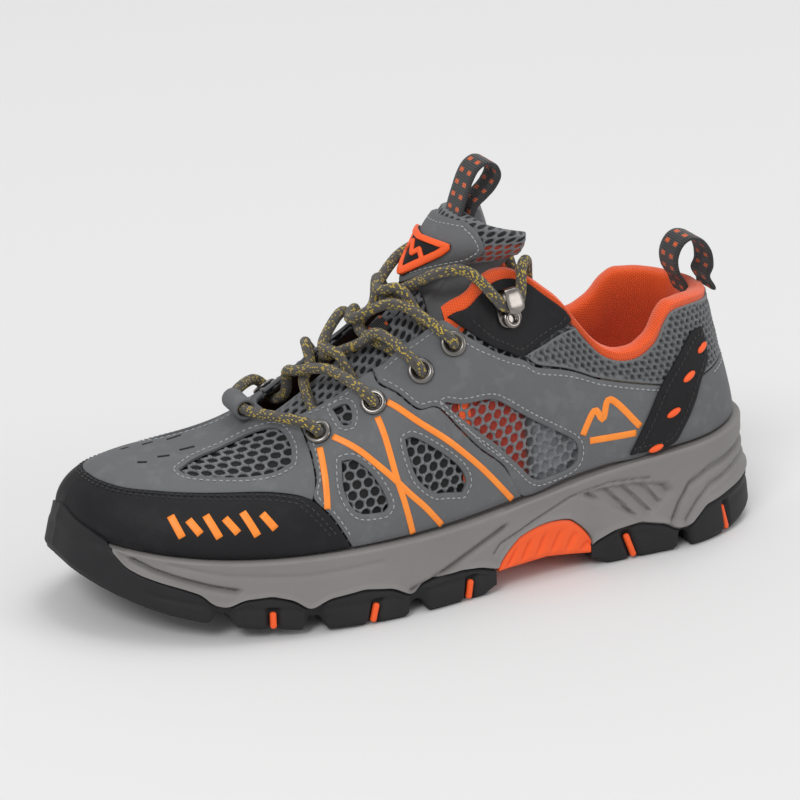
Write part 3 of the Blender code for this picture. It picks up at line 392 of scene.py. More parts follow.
BUMPER_INNER = 2.0
LAYER_GAP = 0.022
SHANK_FROM = 9.8
SHANK_TO = 12.05
SOLE_STEP = 0.04
WALL_ROWS = 26
TREAD_ROWS = 40
INSERTS = [5.0, 6.95, 9.1, 13.1, 16.0]
INSERT_LEAN = [0.0, 2.2, 1.4, -4.2, -2.6]
INSERT_FOOT = 0.02
INSERT_HEAD = 0.27
STATION_MM = 19.5
TREAD_DEEP = 3.4


def steps(low, high, value):
    """0 below low and 1 above high, eased."""
    f = np.clip((np.asarray(value, float) - low) / (high - low), 0, 1)
    return f * f * (3 - 2 * f)


def rubber_top(k):
    """Height of the rubber's upper edge as a share of the wall, past 1 where it climbs over the toe."""
    k = np.asarray(k, float)
    return sum(np.interp(k + d, RUBBER_TOP_K, RUBBER_TOP_H) for d in (-.08, -.04, 0, .04, .08)) / 5


def gap(k):
    """1 in the middle of a gap between two lugs."""
    return sum(np.exp(-((np.asarray(k, float) - g) / LUG_GAP_HALF) ** 4) for g in LUG_GAPS)


def plan_normal(k, side):
    """Outward direction of the sole's outline at a station, seen from above."""
    table = FEATHER_LATERAL if side < 0 else FEATHER_MEDIAL
    step = curve(table, k + .05) - curve(table, k - .05)
    n = unit(np.stack([-step[..., 1], step[..., 0]], -1) * side)
    toe = steps(0, .8, k)[..., None]
    heel = steps(0, .8, LAST_STATION - k)[..., None]
    n = n * toe * heel + np.array([-1.0, 0.0]) * (1 - toe) + np.array([1.0, 0.0]) * (1 - heel)
    return unit(n)


def wall_off(k, h):
    """How far out the plain wall stands at a height; it flares toward the ground."""
    return SOLE_RIM + (spline(SOLE_FLARE, k) - SOLE_RIM) * (1 - h)


def wall(k, h, side, off):
    """Point on the sole's side wall; h runs 0 (tread) to 1 (feather line), off is millimetres outward."""
    k, h, off = np.broadcast_arrays(np.asarray(k, float), np.asarray(h, float), np.asarray(off, float))
    table = FEATHER_LATERAL if side < 0 else FEATHER_MEDIAL
    low = np.maximum(0.0, spline(TOE_SPRING, k))
    n = plan_normal(k, side)
    plan = curve(table, k) + n * off[..., None]
    return np.stack([plan[..., 0], plan[..., 1], low + (spline(FEATHER_HEIGHT, k) - low) * h], -1)


def sole_rings(stations, half_section):
    """Rings across the shoe. half_section(k, side) lists (h, off) from the tread edge up and inward."""
    rings = []
    for k in stations:
        left = half_section(k, LATERAL)
        right = half_section(k, MEDIAL)
        over = [wall(k, left[:, 0], LATERAL, left[:, 1]), wall(k, right[::-1, 0], MEDIAL, right[::-1, 1])]
        share = np.linspace(0, 1, TREAD_ROWS + 2)[1:-1]
        start, end = over[1][-1], over[0][0]
        under = start + (end - start) * share[:, None]
        rings.append((over, under, share))
    return rings


def cap_off(k, side, h):
    """How far out the upper stands from the feather line at heights above the sole."""
    t = np.linspace(0, .35, 40)
    skin = last(np.full(40, side * max(k, .02)), t)
    foot = skin[0]
    low = max(0.0, float(spline(TOE_SPRING, k)))
    rise = (skin[:, 2] - low) / (foot[2] - low)
    out = (skin[:, :2] - foot[:2]) @ plan_normal(np.asarray(k, float), side)
    return np.interp(h, rise, out)


def rubber_half(k, side):
    top = float(rubber_top(k))
    low = LUG_GAP_DEEP * float(gap(k))
    low += .10 * (1 - float(steps(0, .55, k - SHANK_TO))) * (k > SHANK_TO)
    low += .08 * (1 - float(steps(0, .35, SHANK_FROM - k))) * (k < SHANK_FROM)
    s = np.linspace(0, 1, WALL_ROWS)
    h = low + (top - low) * s
    off = wall_off(k, np.minimum(h, 1))
    climb = steps(1.02, 1.12, top)
    skin_off = cap_off(k, side, h)
    proud = 3.4 - 2.3 * steps(.55, 1.0, s)
    hug = skin_off + proud
    off = off * (1 - climb * steps(.80, 1.02, h)) + hug * climb * steps(.80, 1.02, h)
    off = off - 1.5 * (1 - steps(0, .16, s)) - 1.1 * steps(.90, 1.0, s) * (1 - climb)
    off = off - 3.0 * gap(k) * (1 - .5 * s)
    band = np.exp(-((h - .30) / .05) ** 2) * steps(2.4, 3.2, k) * (1 - gap(k))
    off = off - .45 * band * (h < top - .08)
    if k > 2.3:
        for middle, lean in zip(INSERTS, INSERT_LEAN):
            slot = middle + lean / STATION_MM * (h / INSERT_HEAD)
            beside = np.exp(-((k - slot) / .125) ** 4)
            off = off - 2.4 * beside * (1 - steps(.29, .35, h))
    rows = np.stack([h, off], -1)
    tuck = BUMPER_INNER * (1 - climb) + (float(cap_off(k, side, np.array([top]))[0]) - .6) * climb
    inner = [(top + .004, tuck + .5), (top, tuck), (min(top, .5), BUMPER_INNER)]
    return np.vstack([rows, inner])


def tread_relief(k, share):
    """Depth of the grooves that divide the underside into chevron lugs."""
    across = np.abs(share - .5) * 2
    wave = (k / .95 + across * .55) % 1.0
    cross_groove = 1 - steps(.10, .17, np.abs(wave - .5))
    rail = 1 - steps(.03, .06, np.abs(across - .40))
    edge = steps(.02, .08, 1 - across)
    return TREAD_DEEP * np.maximum(cross_groove, rail) * edge


def build_sole(name, stations, half_section, finish, with_tread, open_ends):
    rings = []
    for k, (over, under, share) in zip(stations, sole_rings(stations, half_section)):
        if with_tread:
            under = under + np.stack([0 * share, 0 * share, tread_relief(k, share)], -1)
        rings.append(np.vstack([over[0], over[1], under]))
    count = len(rings[0])
    faces = ring_faces(count, len(rings), caps=False)
    if open_ends[0]:
        faces.append(tuple(reversed(range(count))))
    if open_ends[1]:
        faces.append(tuple(range((len(rings) - 1) * count, len(rings) * count)))
    return piece(name, np.vstack(rings), faces, finish, smooth=42, merge=True)


def rubber_finish():
    f = Finish("black_rubber", rough=0.62, specular=0.22)
    cloud = f.noise(60.0, 4.0)
    fine = f.noise(1800.0, 2.0)
    f.paint(f.mix(cloud, (0.013, 0.013, 0.014), (0.024, 0.024, 0.026)), cloud * 0.2 + 0.50)
    return f.emboss(fine, 0.00012, 0.6)


rubber = rubber_finish()
stations = np.arange(0, SHANK_FROM - .015, SOLE_STEP)
forefoot = build_sole("outsole_forefoot_rubber", stations, rubber_half, rubber, True,
                      (False, True))
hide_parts("outsole_forefoot")
stations = np.arange(SHANK_TO + .02, LAST_STATION + .001, SOLE_STEP)
stations = np.append(stations[:-1], LAST_STATION)
heel = build_sole("outsole_heel_rubber", stations, rubber_half, rubber, True, (True, False))
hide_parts("outsole_heel")

# ---- Arch shank ----------------------------------------------------------------------------------
# A stiff orange plastic bridge between the two rubber units, ribbed where it shows at each side.
SHANK_ROWS = 18
RIB_PITCH = 0.36


def shank_half(k, side):
    edge = np.clip(min(k - SHANK_FROM, SHANK_TO - k) / .5, 0, 1)
    crown = np.sin(np.pi * np.clip((k - SHANK_FROM) / (SHANK_TO - SHANK_FROM), 0, 1)) ** .6
    low = .27 - .1 * np.clip((k - 11) / 1.05, 0, 1)
    high = .30 + .10 * edge + .27 * crown
    s = np.linspace(0, 1, SHANK_ROWS)
    h = low + (high - low) * s
    lean = (k + (1 - s) * .35 - SHANK_FROM) / RIB_PITCH % 1.0
    rib = np.exp(-((lean - .5) / .17) ** 2) * steps(.02, .25, s) * (1 - steps(.55, .8, s))
    off = wall_off(k, h) + .35 - 1.0 * rib - .8 * (1 - steps(0, .12, s)) - .7 * steps(.9, 1, s)
    return np.vstack([np.stack([h, off], -1), [(high, 1.6), (.30, 1.6)]])


def plastic_finish(name, low, high, rough):
    f = Finish(name, rough=rough, specular=0.4)
    cloud = f.noise(90.0, 3.0)
    f.paint(f.mix(cloud, low, high), cloud * 0.15 + rough)
    return f.emboss(f.noise(1400.0, 2.0), 0.00006, 0.5)


orange_plastic = plastic_finish("orange_plastic", (0.83, 0.085, 0.011), (0.93, 0.12, 0.018), 0.42)
stations = np.arange(SHANK_FROM + .02, SHANK_TO - .01, SOLE_STEP / 2)
shank = build_sole("arch_shank_plastic", stations, shank_half, orange_plastic, False,
                   (True, True))
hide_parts("arch_shank")

# ---- Midsole -------------------------------------------------------------------------------------
# Grey moulded foam. Its wall carries long grooves and, ahead of the heel, a sunk panel with slanting ribs.
GROOVE_LINES = [([(9.75, .50), (9.9, .60), (10.67, .74), (11.57, .86), (12.5, .87), (13.4, .80)], 1.1, .6),
                ([(10.0, .79), (9.3, .64), (8.6, .48), (7.83, .34)], 2.6, 1.3),
                ([(2.4, .87), (2.8, .76), (3.3, .68), (3.9, .60), (4.35, .56)], 2.6, 1.5),
                ([(3.2, .90), (4.2, .80), (5.6, .76), (7.2, .80)], .45, 1.6),
                ([(14.0, .30), (14.2, .46), (14.5, .62), (15.2, .71), (17.0, .75), (18.5, .77), (19, .77)],
                 2.4, 1.3),
                ([(14.4, .27), (14.75, .42), (15.2, .54), (16.5, .60), (18.0, .62), (19, .62)], 1.8, 1.2)]
WEDGE = [(11.8, .84), (12.3, .83), (13.07, .78), (13.83, .69), (13.97, .61), (13.7, .49), (13.27, .38)]
WALL_MM = 40.0
WEDGE_RIBS = 6
FOAM_ROWS = 34


def inside(points, loop):
    """Which of many points lie inside a closed outline."""
    points = np.asarray(points, float)
    loop = np.asarray(loop, float)
    hit = np.zeros(len(points), bool)
    for (x1, y1), (x2, y2) in zip(loop, np.roll(loop, -1, axis=0)):
        if y1 == y2:
            continue
        crosses = (y1 > points[:, 1]) != (y2 > points[:, 1])
        hit ^= crosses & (points[:, 0] < (x2 - x1) * (points[:, 1] - y1) / (y2 - y1) + x1)
    return hit


def line_distance(points, line):
    """Distance from many flat points to an open run of straight pieces."""
    best = np.full(len(points), 1e9)
    for a, b in zip(np.asarray(line[:-1], float), np.asarray(line[1:], float)):
        d = b - a
        s = np.clip(((points - a) @ d) / (d @ d), 0, 1)
        best = np.minimum(best, np.linalg.norm(points - a - s[:, None] * d, axis=1))
    return best


def foam_relief(k, h):
    """How far the grooves and the ribbed panel stand in from the foam's wall, as negative millimetres."""
    flat = np.stack([np.full(len(h), k) * STATION_MM, h * WALL_MM], -1)
    scale = np.array([STATION_MM, WALL_MM])
    out = np.zeros(len(h))
    for line, deep, wide in GROOVE_LINES:
        out -= deep * np.exp(-(line_distance(flat, np.array(line) * scale) / wide) ** 2)
    wedge = np.array(WEDGE) * scale
    rim = line_distance(flat, np.vstack([wedge, wedge[:1]]))
    within = inside(flat, wedge)
    slant = (k - 11.8) / 2.2 + (h - .38) * .85
    rib = (slant * WEDGE_RIBS) % 1.0
    rib = rib * (1 - steps(.82, 1.0, rib))
    out -= within * steps(0, .8, rim) * (.8 + 2.2 * rib)
    out -= .9 * np.exp(-(rim / .55) ** 2)
    return out


def foam_half(k, side):
    inner = BUMPER_INNER - 0.5
    top = float(rubber_top(k))
    low = min(top, .5) + LAYER_GAP
    shoulder = min(top + LAYER_GAP * .4, 1.0)
    if SHANK_FROM - .02 < k < SHANK_TO + .02:
        shank = shank_half(k, side)
        low = .30 + LAYER_GAP
        shoulder = float(shank[SHANK_ROWS - 1, 0]) + .01
        inner = 1.2
    out = float(np.clip((1 - shoulder) / .06, 0, 1))
    s = np.linspace(0, 1, FOAM_ROWS)
    h = shoulder + (1.0 - shoulder) * s
    off = wall_off(k, h) + foam_relief(k, h)
    lip = np.exp(-(((h - shoulder) * WALL_MM - 1.0) / 1.0) ** 2)
    off = off + .95 * lip - .9 * steps(.975, 1.0, h) - .8 * (1 - steps(0, .02, s))
    waist = np.sin(np.pi * np.clip((h - shoulder) / max(1e-6, 1 - shoulder), 0, 1))
    off = off - .7 * waist * out
    off = inner + (off - inner) * out
    rows = np.stack([h, off], -1)
    return np.vstack([[(low, inner), (shoulder, inner)], rows, [(1.0, -3.0)]])


def foam_finish():
    f = Finish("midsole_foam", rough=0.6, specular=0.35)
    cloud = f.noise(28.0, 5.0)
    speck = f.noise(900.0, 2.0)
    tone = f.mix(cloud, (0.175, 0.166, 0.163), (0.232, 0.222, 0.218))
    f.paint(f.mix(speck.above(0.66, 0.06) * 0.12, tone, (0.14, 0.13, 0.127)), cloud * 0.12 + 0.52)
    return f.emboss(speck, 0.00010, 0.5)


stations = np.append(np.arange(0, LAST_STATION - .01, SOLE_STEP), LAST_STATION)
midsole = build_sole("midsole_foam", stations, foam_half, foam_finish(), False,
                     (False, False))
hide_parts("midsole")

# ---- Lug inserts ---------------------------------------------------------------------------------
# Small orange plastic fingers moulded into a slot in the side of each lug, low at the ground.
INSERT_WIDE = 2.625
INSERT_THICK = 2.4
INSERT_ROUND = 1.15


def straight(points):
    """World matrix that stands a shape on a spot: columns are its across, up and outward directions."""
    centre, across, up, out = points
    turn = Matrix([list(across), list(up), list(out)]).transposed().to_4x4()
    return Matrix.Translation(Vector((np.asarray(centre) + RECENTRE) * MM)) @ turn


def place_piece(made, matrix, finish, body="shoe"):
    """Bakes a shape's place into its mesh, gives it its finish and hangs it on a body."""
    made.matrix_world = matrix @ made.matrix_world
    bpy.context.view_layer.update()
    unpick()
    made.select_set(True)
    bpy.context.view_layer.objects.active = made
    bpy.ops.object.transform_apply(location=True, rotation=True, scale=True)
    made.data.materials.clear()
    made.data.materials.append(finish)
    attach(made, body)
    return made


for side, word in SIDES:
    for number, (k, lean) in enumerate(zip(INSERTS, INSERT_LEAN), 1):
        low = wall(k, INSERT_FOOT, side, wall_off(k, INSERT_FOOT) - 1.1)
        high = wall(k, INSERT_HEAD, side, wall_off(k, INSERT_HEAD) - 1.2)
        high[0] += lean
        up = unit(high - low)
        out = np.append(plan_normal(np.asarray(k, float), side), 0.0)
        out = unit(out - up * (out @ up))
        unpick()
        tall = np.linalg.norm(high - low)
        bpy.ops.mesh.primitive_cube_add(size=1, scale=(INSERT_WIDE * MM, tall * MM, INSERT_THICK * MM))
        insert = bpy.context.active_object
        insert.name = "lug_finger_%s_%d" % (word, number)
        bpy.ops.object.transform_apply(location=False, rotation=False, scale=True)
        rounding = insert.modifiers.new("rounding", "BEVEL")
        rounding.width = INSERT_ROUND * MM
        rounding.segments = 5
        bpy.ops.object.modifier_apply(modifier=rounding.name)
        bpy.ops.object.shade_smooth()
        place_piece(insert, straight(((low + high) / 2, unit(np.cross(up, out)), up, out)), orange_plastic)
        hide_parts("lug_insert_%s_%d" % (word, number))


# ---- Board and footbed ---------------------------------------------------------------------------
# A fibre board closes the upper from below; on it lies a foam footbed faced with orange knit.
FOOTBED_FROM = 0.7
FOOTBED_TO = 18.3
FOOTBED_STEP = 0.1
FOOTBED_INSET = -6.2
FOOTBED_HIGH = 5.6
FOOTBED_LOW = 2.0
FOOTBED_COLUMNS = 24
ROW_SHARE = 0.866


def board_finish():
    f = Finish("insole_board", rough=0.9, specular=0.2)
    f.paint(f.mix(f.noise(700.0, 4.0), (0.30, 0.26, 0.20), (0.42, 0.37, 0.29)))
    return f.emboss(f.noise(1500.0, 2.0), 0.0001, 0.6)


def knit_finish(name, low, high, pitch):
    """A close knit of round stitches, read across a piece's own millimetres; the colour is darker between
    them, a painted shade in the hollows.
    """
    f = Finish(name, rough=0.88, specular=0.2, sheen=0.3)
    x = f.attribute("across")
    y = f.attribute("along")
    row = (y / (pitch * ROW_SHARE)).math("FLOOR")
    shift = (row * 0.5).math("FRACT")
    a = (x / pitch + shift).math("FRACT") - 0.5
    b = (y / (pitch * ROW_SHARE)).math("FRACT") - 0.5
    bump = 1.0 - (a * a + b * b).math("SQRT") * 1.8
    bump = bump.math("MAXIMUM", 0.0)
    fibres = f.noise(2400.0, 2.0)
    # Painted shade: darker where the stitch bump falls away between stitches; the fibre noise is the knit's
    # own tone.
    f.paint(f.mix(bump * 0.8 + fibres * 0.25, low, high))
    return f.emboss(bump + fibres * 0.15, pitch * 0.00022, 0.8)


lining_knit = knit_finish("lining_knit", (0.62, 0.050, 0.009), (0.98, 0.165, 0.032), 1.15)


def finish_node(node, finish):
    """A CAD part that is shown as it is gets its finish."""
    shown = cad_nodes[node]
    shown.data.materials.clear()
    shown.data.materials.append(finish)


finish_node("strobel_board", board_finish())
rings = []
across = []
along = []
for k in np.arange(FOOTBED_FROM, FOOTBED_TO + .01, FOOTBED_STEP):
    a = wall(k, 1, LATERAL, FOOTBED_INSET)
    b = wall(k, 1, MEDIAL, FOOTBED_INSET)
    share = np.linspace(0, 1, FOOTBED_COLUMNS)
    dish = 1.6 * (1 - np.cos(2 * np.pi * share)) / 2
    top = a + (b - a) * share[:, None] + np.stack([0 * share, 0 * share, FOOTBED_HIGH - dish], -1)
    rings.append(np.vstack([top, b + [0, 0, FOOTBED_LOW], a + [0, 0, FOOTBED_LOW]]))
    across += list(rings[-1][:, 1])
    along += list(rings[-1][:, 0])
footbed = piece("footbed_knit", np.vstack(rings), ring_faces(FOOTBED_COLUMNS + 2, len(rings)), lining_knit,
                values={"across": across, "along": along})
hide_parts("footbed")

# ---- Collar lining -------------------------------------------------------------------------------
# Orange spacer knit over foam: a padded roll at the rim of the opening that runs down inside the heel.
RIM_K = [9.3, 9.75, 10.2, 10.65, 11.25, 11.8, 12.3, 12.47, 12.6, 12.8, 13.15, 13.55, 14.05, 14.4, 14.8,
         15.5, 16.5, 17.5, 19]
RIM_T = [.655, .632, .652, .687, .717, .717, .677, .632, .557, .487, .457, .477, .557, .647, .712, .737,
         .747, .752, .752]
LINING_STEP = 0.07
LINING_FROM = 9.2
LINING_ROWS = 46


def rim(k):
    return sum(np.interp(k + d, RIM_K, RIM_T) for d in (-.12, -.06, 0, .06, .12)) / 5


def lining_section(u):
    """Outer face, rolled rim and inner face of the padded collar at one station."""
    k = min(abs(u), 2 * LAST_STATION - abs(u))
    r = float(rim(k))
    swell = float(np.interp(k, [9.3, 11, 13, 19], [.35, .6, 1, 1]))
    front = float(steps(9.15, 10.2, k))
    shape = np.array([(r - .03, -1.5), (r + .004, -.75), (r + .026, -.7), (r + .043, -2.4 - 2 * swell),
                      (r + .022, -4.8 - 3.4 * swell), (r - .09, -4.8 - 4.8 * swell),
                      ((r + .12) / 2, -4.4 - 4 * swell), (.12, -4.6 - 1.4 * swell)])
    shape[:, 1] = shape[:, 1] * (.35 + .65 * front) - .3 * (1 - front)
    place = np.linspace(0, len(shape) - 1, LINING_ROWS)
    t = spline(shape[:, 0], place)
    lift = spline(shape[:, 1], place)
    t = np.append(t, [.12, r - .05])
    lift = np.append(lift, [-4.0, -2.4 * front - 1.4])
    return on_upper(np.full(len(t), u), t, lift)


walk = np.arange(LINING_FROM, 2 * LAST_STATION - LINING_FROM + .001, LINING_STEP)
rings = [lining_section(u) for u in walk]
along = []
across = []
run = 0.0
for number, ring in enumerate(rings):
    if number:
        run += float(np.linalg.norm(ring[5] - rings[number - 1][5]))
    down = travelled(ring)
    along += [run] * len(ring)
    across += list(down)
lining = piece("collar_lining_knit", np.vstack(rings), ring_faces(LINING_ROWS + 2, len(rings)), lining_knit,
               values={"across": across, "along": along})
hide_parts("collar_lining")
finish_node("heel_stiffener", board_finish())

# ---- Base mesh -----------------------------------------------------------------------------------
# The inner shell: an air mesh of round open cells, bonded to its knit lining. It shows through the windows
# of the leather panels, red where the lining shines through in front and grey and puffy at the rear. The
# other cells are painted near black as shade, and the red is the lining's colour darkened by painted shade.
HEM = 0.016
NET_PITCH = 4.7
NET_STEP_U = 0.03
NET_ROWS = 120
SIDE_TOP_K = [5.4, 5.9, 6.2, 6.65, 7, 7.4, 7.9, 8.25, 8.6, 9.05, 9.35, 9.75, 10.2, 10.65, 11.25, 11.8, 12.3,
              12.45, 12.6]
SIDE_TOP_T = [.93, .84, .77, .74, .72, .71, .68, .68, .66, .65, .63, .61, .63, .66, .69, .69, .655, .615,
              .535]


def cell_distance(x, y, pitch):
    """Millimetres from the centre of the nearest cell of a honeycomb."""
    row = y / (pitch * ROW_SHARE)
    best = np.full(np.shape(x), 1e9)
    for r in (np.floor(row), np.floor(row) + 1):
        shift = (r % 2) * .5
        column = np.round(x / pitch - shift) + shift
        best = np.minimum(best, np.hypot(x - column * pitch, y - r * pitch * ROW_SHARE))
    return best


def net_grid(us, top_of, low_face, high_face, deep, pitch=NET_PITCH, rows=NET_ROWS):
    """A sheet of the upper with open cells pressed into its outer face."""
    u = np.asarray(us, float)
    share = np.linspace(0, 1, rows)
    t = HEM + (np.array([top_of(abs(v)) for v in u])[:, None] - HEM) * share[None, :]
    uu = np.repeat(u[:, None], rows, axis=1)
    skin = last(uu, t)
    rise_steps = np.linalg.norm(np.diff(skin, axis=1), axis=2)
    rise = np.concatenate([np.zeros((len(u), 1)), np.cumsum(rise_steps, axis=1)], 1)
    d = cell_distance(skin[..., 0], rise, pitch)
    strand = steps(.35 * pitch, .50 * pitch, d)
    lift = high_face - deep * (1 - strand)
    outer = on_upper(uu, t, lift)
    inner = on_upper(uu[:, ::4], t[:, ::4], np.full(t[:, ::4].shape, low_face))
    return outer, inner, strand, uu


def net_piece(name, node, us, top_of, close_ridge):
    outer, inner, strand, uu = net_grid(us, top_of, -3.3, -1.6, 1.5)
    columns, rows = strand.shape
    # Where the front cells show the lining's red; the finish paints all other cells near black as shade.
    seam = np.interp(np.abs(uu), [8.7, 9.1, 9.55, 10.1, 10.5], [.40, .30, .205, .12, .016])
    share = HEM + (np.array([top_of(abs(v)) for v in us])[:, None] - HEM) * np.linspace(0, 1, rows)[None, :]
    red = (share > seam) * (share < .415) * (1 - steps(10.55, 10.8, np.abs(uu))) * (np.abs(uu) > 8.6)
    back_rows = inner.shape[1]
    points = np.vstack([outer.reshape(-1, 3), inner.reshape(-1, 3)])
    base = columns * rows
    faces = []
    for c in range(columns - 1):
        for r in range(rows - 1):
            a = c * rows + r
            faces.append((a, a + 1, a + rows + 1, a + rows))
        for r in range(back_rows - 1):
            a = base + c * back_rows + r
            faces.append((a, a + back_rows, a + back_rows + 1, a + 1))
        foot = c * rows
        faces.append((foot, foot + rows, base + (c + 1) * back_rows, base + c * back_rows))
        if not close_ridge:
            head = c * rows + rows - 1
            back_head = base + (c + 1) * back_rows - 1
            faces.append((head, back_head, back_head + back_rows, head + rows))
    values = {"strand": np.concatenate([strand.ravel(), np.zeros(inner.shape[0] * back_rows)]),
              "station": np.concatenate([np.abs(uu).ravel(), np.zeros(inner.shape[0] * back_rows)]),
              "red": np.concatenate([red.ravel(), np.zeros(inner.shape[0] * back_rows)])}
    made = piece(name, points, faces, air_mesh_finish, smooth=SMOOTH_ALL, merge=True,
                 values=values)
    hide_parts(node)


def net_finish():
    f = Finish("air_mesh", rough=0.8, specular=0.3, sheen=0.15)
    strand = f.attribute("strand")
    station = f.attribute("station")
    fibres = f.noise(1500.0, 2.0)
    cloud = f.noise(45.0, 2.0)
    red = f.attribute("red") * cloud.above(0.36, 0.08)
    pale = station.above(10.85, 0.2)
    # Painted shade: the cells are near black, or the lining's red darkened in front; the pale grey at the
    # rear and the thread's fibre noise are the mesh's own colour.
    hole = f.mix(red, (0.012, 0.012, 0.013), (0.27, 0.026, 0.014))
    hole = f.mix(pale * cloud.above(0.4, 0.15), hole, (0.15, 0.155, 0.165))
    thread = f.mix(fibres, (0.085, 0.088, 0.093), (0.25, 0.255, 0.265))
    f.paint(f.mix(strand.above(0.40, 0.22), hole, thread))
    return f.emboss(fibres, 0.00018, 0.8)


air_mesh_finish = net_finish()
for side, word in SIDES:
    side_walk = side * np.arange(5.4, 12.61, NET_STEP_U)
    net_piece("air_mesh_" + word, "mesh_" + word, side_walk,
              lambda k: float(np.interp(k, SIDE_TOP_K, SIDE_TOP_T)), False)
toe_walk = np.append(np.arange(-5.41, 5.41, NET_STEP_U), 5.41)
net_piece("air_mesh_toe", "mesh_toe", toe_walk, lambda k: 1.0, True)

# ---- Leather panels ------------------------------------------------------------------------------
# Grey nubuck and smooth black leather, die cut, laid edge to edge over the mesh and stitched down.
SKIN_LOW = -1.3
EYELETS = [(6.4, .63), (7.5, .58), (8.5, .55), (9.25, .55)]
HOOK_SPOT = (10.7, .60)
SKIN_HIGH = 0.0
EDGE_ROUND = 0.45
EYELET_HOLE = 3.6
EDGE_POINTS = 1.15
CELL = 1.9
SEAM_K = 0.018
SEAM_T = 0.0035
SHARP_TURN = np.radians(62)
STITCH_INSET = 2.1
RIDGE_JUMP = 5.0
RIDGE_T = 0.9
CAP_EDGE = [(0.6, .605), (1.2, .60), (2, .58), (2.65, .57), (3.3, .55), (4.05, .52), (4.95, .47),
            (5.6, .39), (5.95, .32)]
CAP_TAIL = [(6.25, .21), (6.5, .09), (6.65, HEM)]
QUARTER_SEAM = [(7.66, .705), (7.7, .63), (7.95, .55), (8.3, .44), (8.7, .40), (9.1, .30), (9.55, .205),
                (10.1, .12), (10.5, HEM)]
TOE_WINDOW = [(3.55, .74), (4, .81), (4.6, .845), (5.3, .86), (5.75, .80), (5.85, .66), (5.75, .56),
              (5.3, .555), (4.5, .61), (3.75, .68)]
SMALL_WINDOW = [(6.78, .69), (7.03, .665), (7.08, .61), (7.0, .565), (6.85, .59)]
WINDOW_1 = [(6.65, .44), (6.9, .41), (7.22, .30), (7.45, .17), (7.35, .14), (6.9, .165), (6.68, .22),
            (6.58, .32)]
WINDOW_2 = [(7.95, .37), (8.12, .36), (8.5, .29), (9.05, .185), (9.2, .13), (9.1, .10), (8.75, .12),
            (8.45, .14), (8.12, .21), (7.98, .30)]
WINDOW_3 = [(8.86, .40), (9.3, .355), (10.0, .315), (10.75, .235), (11.45, .165), (11.8, .12), (11.82, .07),
            (11.65, .045), (11.15, .04), (10.8, .05), (10.4, .115), (9.95, .19), (9.45, .27), (8.98, .365)]


def toe_chart(u, t):
    """The toe opened out flat, to lay out triangles on."""
    foot = last(u, 0 * t)
    top = last(u, 0 * t + 1)
    away = foot - top
    away[..., 2] = 0
    length = np.linalg.norm(foot - top, axis=-1, keepdims=True)
    return (top + unit(away) * (1 - t[..., None]) * length * 1.05)[..., :2]


def side_chart(u, t):
    return np.stack([u * 16.0, t * 85.0], -1)


def rounded_loop(outline, step=EDGE_POINTS, surface=on_upper, chart=side_chart):
    """A closed outline as even steps of a smooth curve, with its sharp corners kept."""
    loop = np.asarray(outline, float)
    flat = chart(loop[:, 0], loop[:, 1])
    before = flat - np.roll(flat, 1, axis=0)
    after = np.roll(flat, -1, axis=0) - flat
    turn = np.arccos(np.clip((unit(before) * unit(after)).sum(1), -1, 1))
    sharp = turn > SHARP_TURN
    fine = []
    n = len(loop)
    jump = np.abs(np.roll(loop, -1, axis=0)[:, 0] - loop[:, 0])
    over_ridge = (jump > RIDGE_JUMP) & (loop[:, 1] > RIDGE_T)
    sharp |= over_ridge | np.roll(over_ridge, 1)
    for i in range(n):
        p0, p1, p2, p3 = loop[i - 1], loop[i], loop[(i + 1) % n], loop[(i + 2) % n]
        if over_ridge[i]:
            fine.append(p1[None])
            continue
        if sharp[i]:
            p0 = 2 * p1 - p2
        if sharp[(i + 1) % n]:
            p3 = 2 * p2 - p1
        f = np.linspace(0, 1, 16, endpoint=False)[:, None]
        fine.append(.5 * (2 * p1 + (p2 - p0) * f + (2 * p0 - 5 * p1 + 4 * p2 - p3) * f ** 2
                          + (3 * p1 - p0 - 3 * p2 + p3) * f ** 3))
    fine = np.vstack(fine)
    placed = surface(fine[:, 0], fine[:, 1], np.zeros(len(fine)))
    gaps = np.linalg.norm(np.roll(placed, -1, axis=0) - placed, axis=1)
    run = np.concatenate([[0], np.cumsum(gaps)])
    count = max(8, int(run[-1] / step))
    even = np.linspace(0, run[-1], count, endpoint=False)
    closed = np.vstack([fine, fine[:1]])
    for j in np.nonzero(np.abs(np.diff(closed[:, 0])) > RIDGE_JUMP)[0]:
        if closed[j, 1] > RIDGE_T:
            even = even[(even <= run[j]) | (even >= run[j + 1])]
    return at_distances(closed, run, even)


def inset(loop, depth, surface=on_upper, closed=True):
    """The loop moved inward by a depth in millimetres, square to its own run on the surface."""
    u, t = loop[:, 0], loop[:, 1]
    zero = np.zeros(len(u))
    du = (surface(u + .02, t, zero) - surface(u - .02, t, zero)) / .04
    dt = (surface(u, t + .004, zero) - surface(u, t - .004, zero)) / .008
    placed = surface(u, t, zero)
    if closed:
        along = np.roll(placed, -2, axis=0) + np.roll(placed, -1, axis=0)
        along = along - np.roll(placed, 1, axis=0) - np.roll(placed, 2, axis=0)
        area = np.sum(u * np.roll(t, -1) - np.roll(u, -1) * t)
        hand = 1.0 if area > 0 else -1.0
    else:
        along = np.gradient(placed, axis=0)
        hand = 1.0
    face = np.cross(du, dt)
    step = unit(np.cross(face, along)) * depth * hand
    a = (du * du).sum(1)
    b = (du * dt).sum(1)
    c = (dt * dt).sum(1)
    p = (step * du).sum(1)
    q = (step * dt).sum(1)
    det = np.maximum(a * c - b * b, 1e-9)
    return np.stack([u + (p * c - q * b) / det, t + (q * a - p * b) / det], -1)


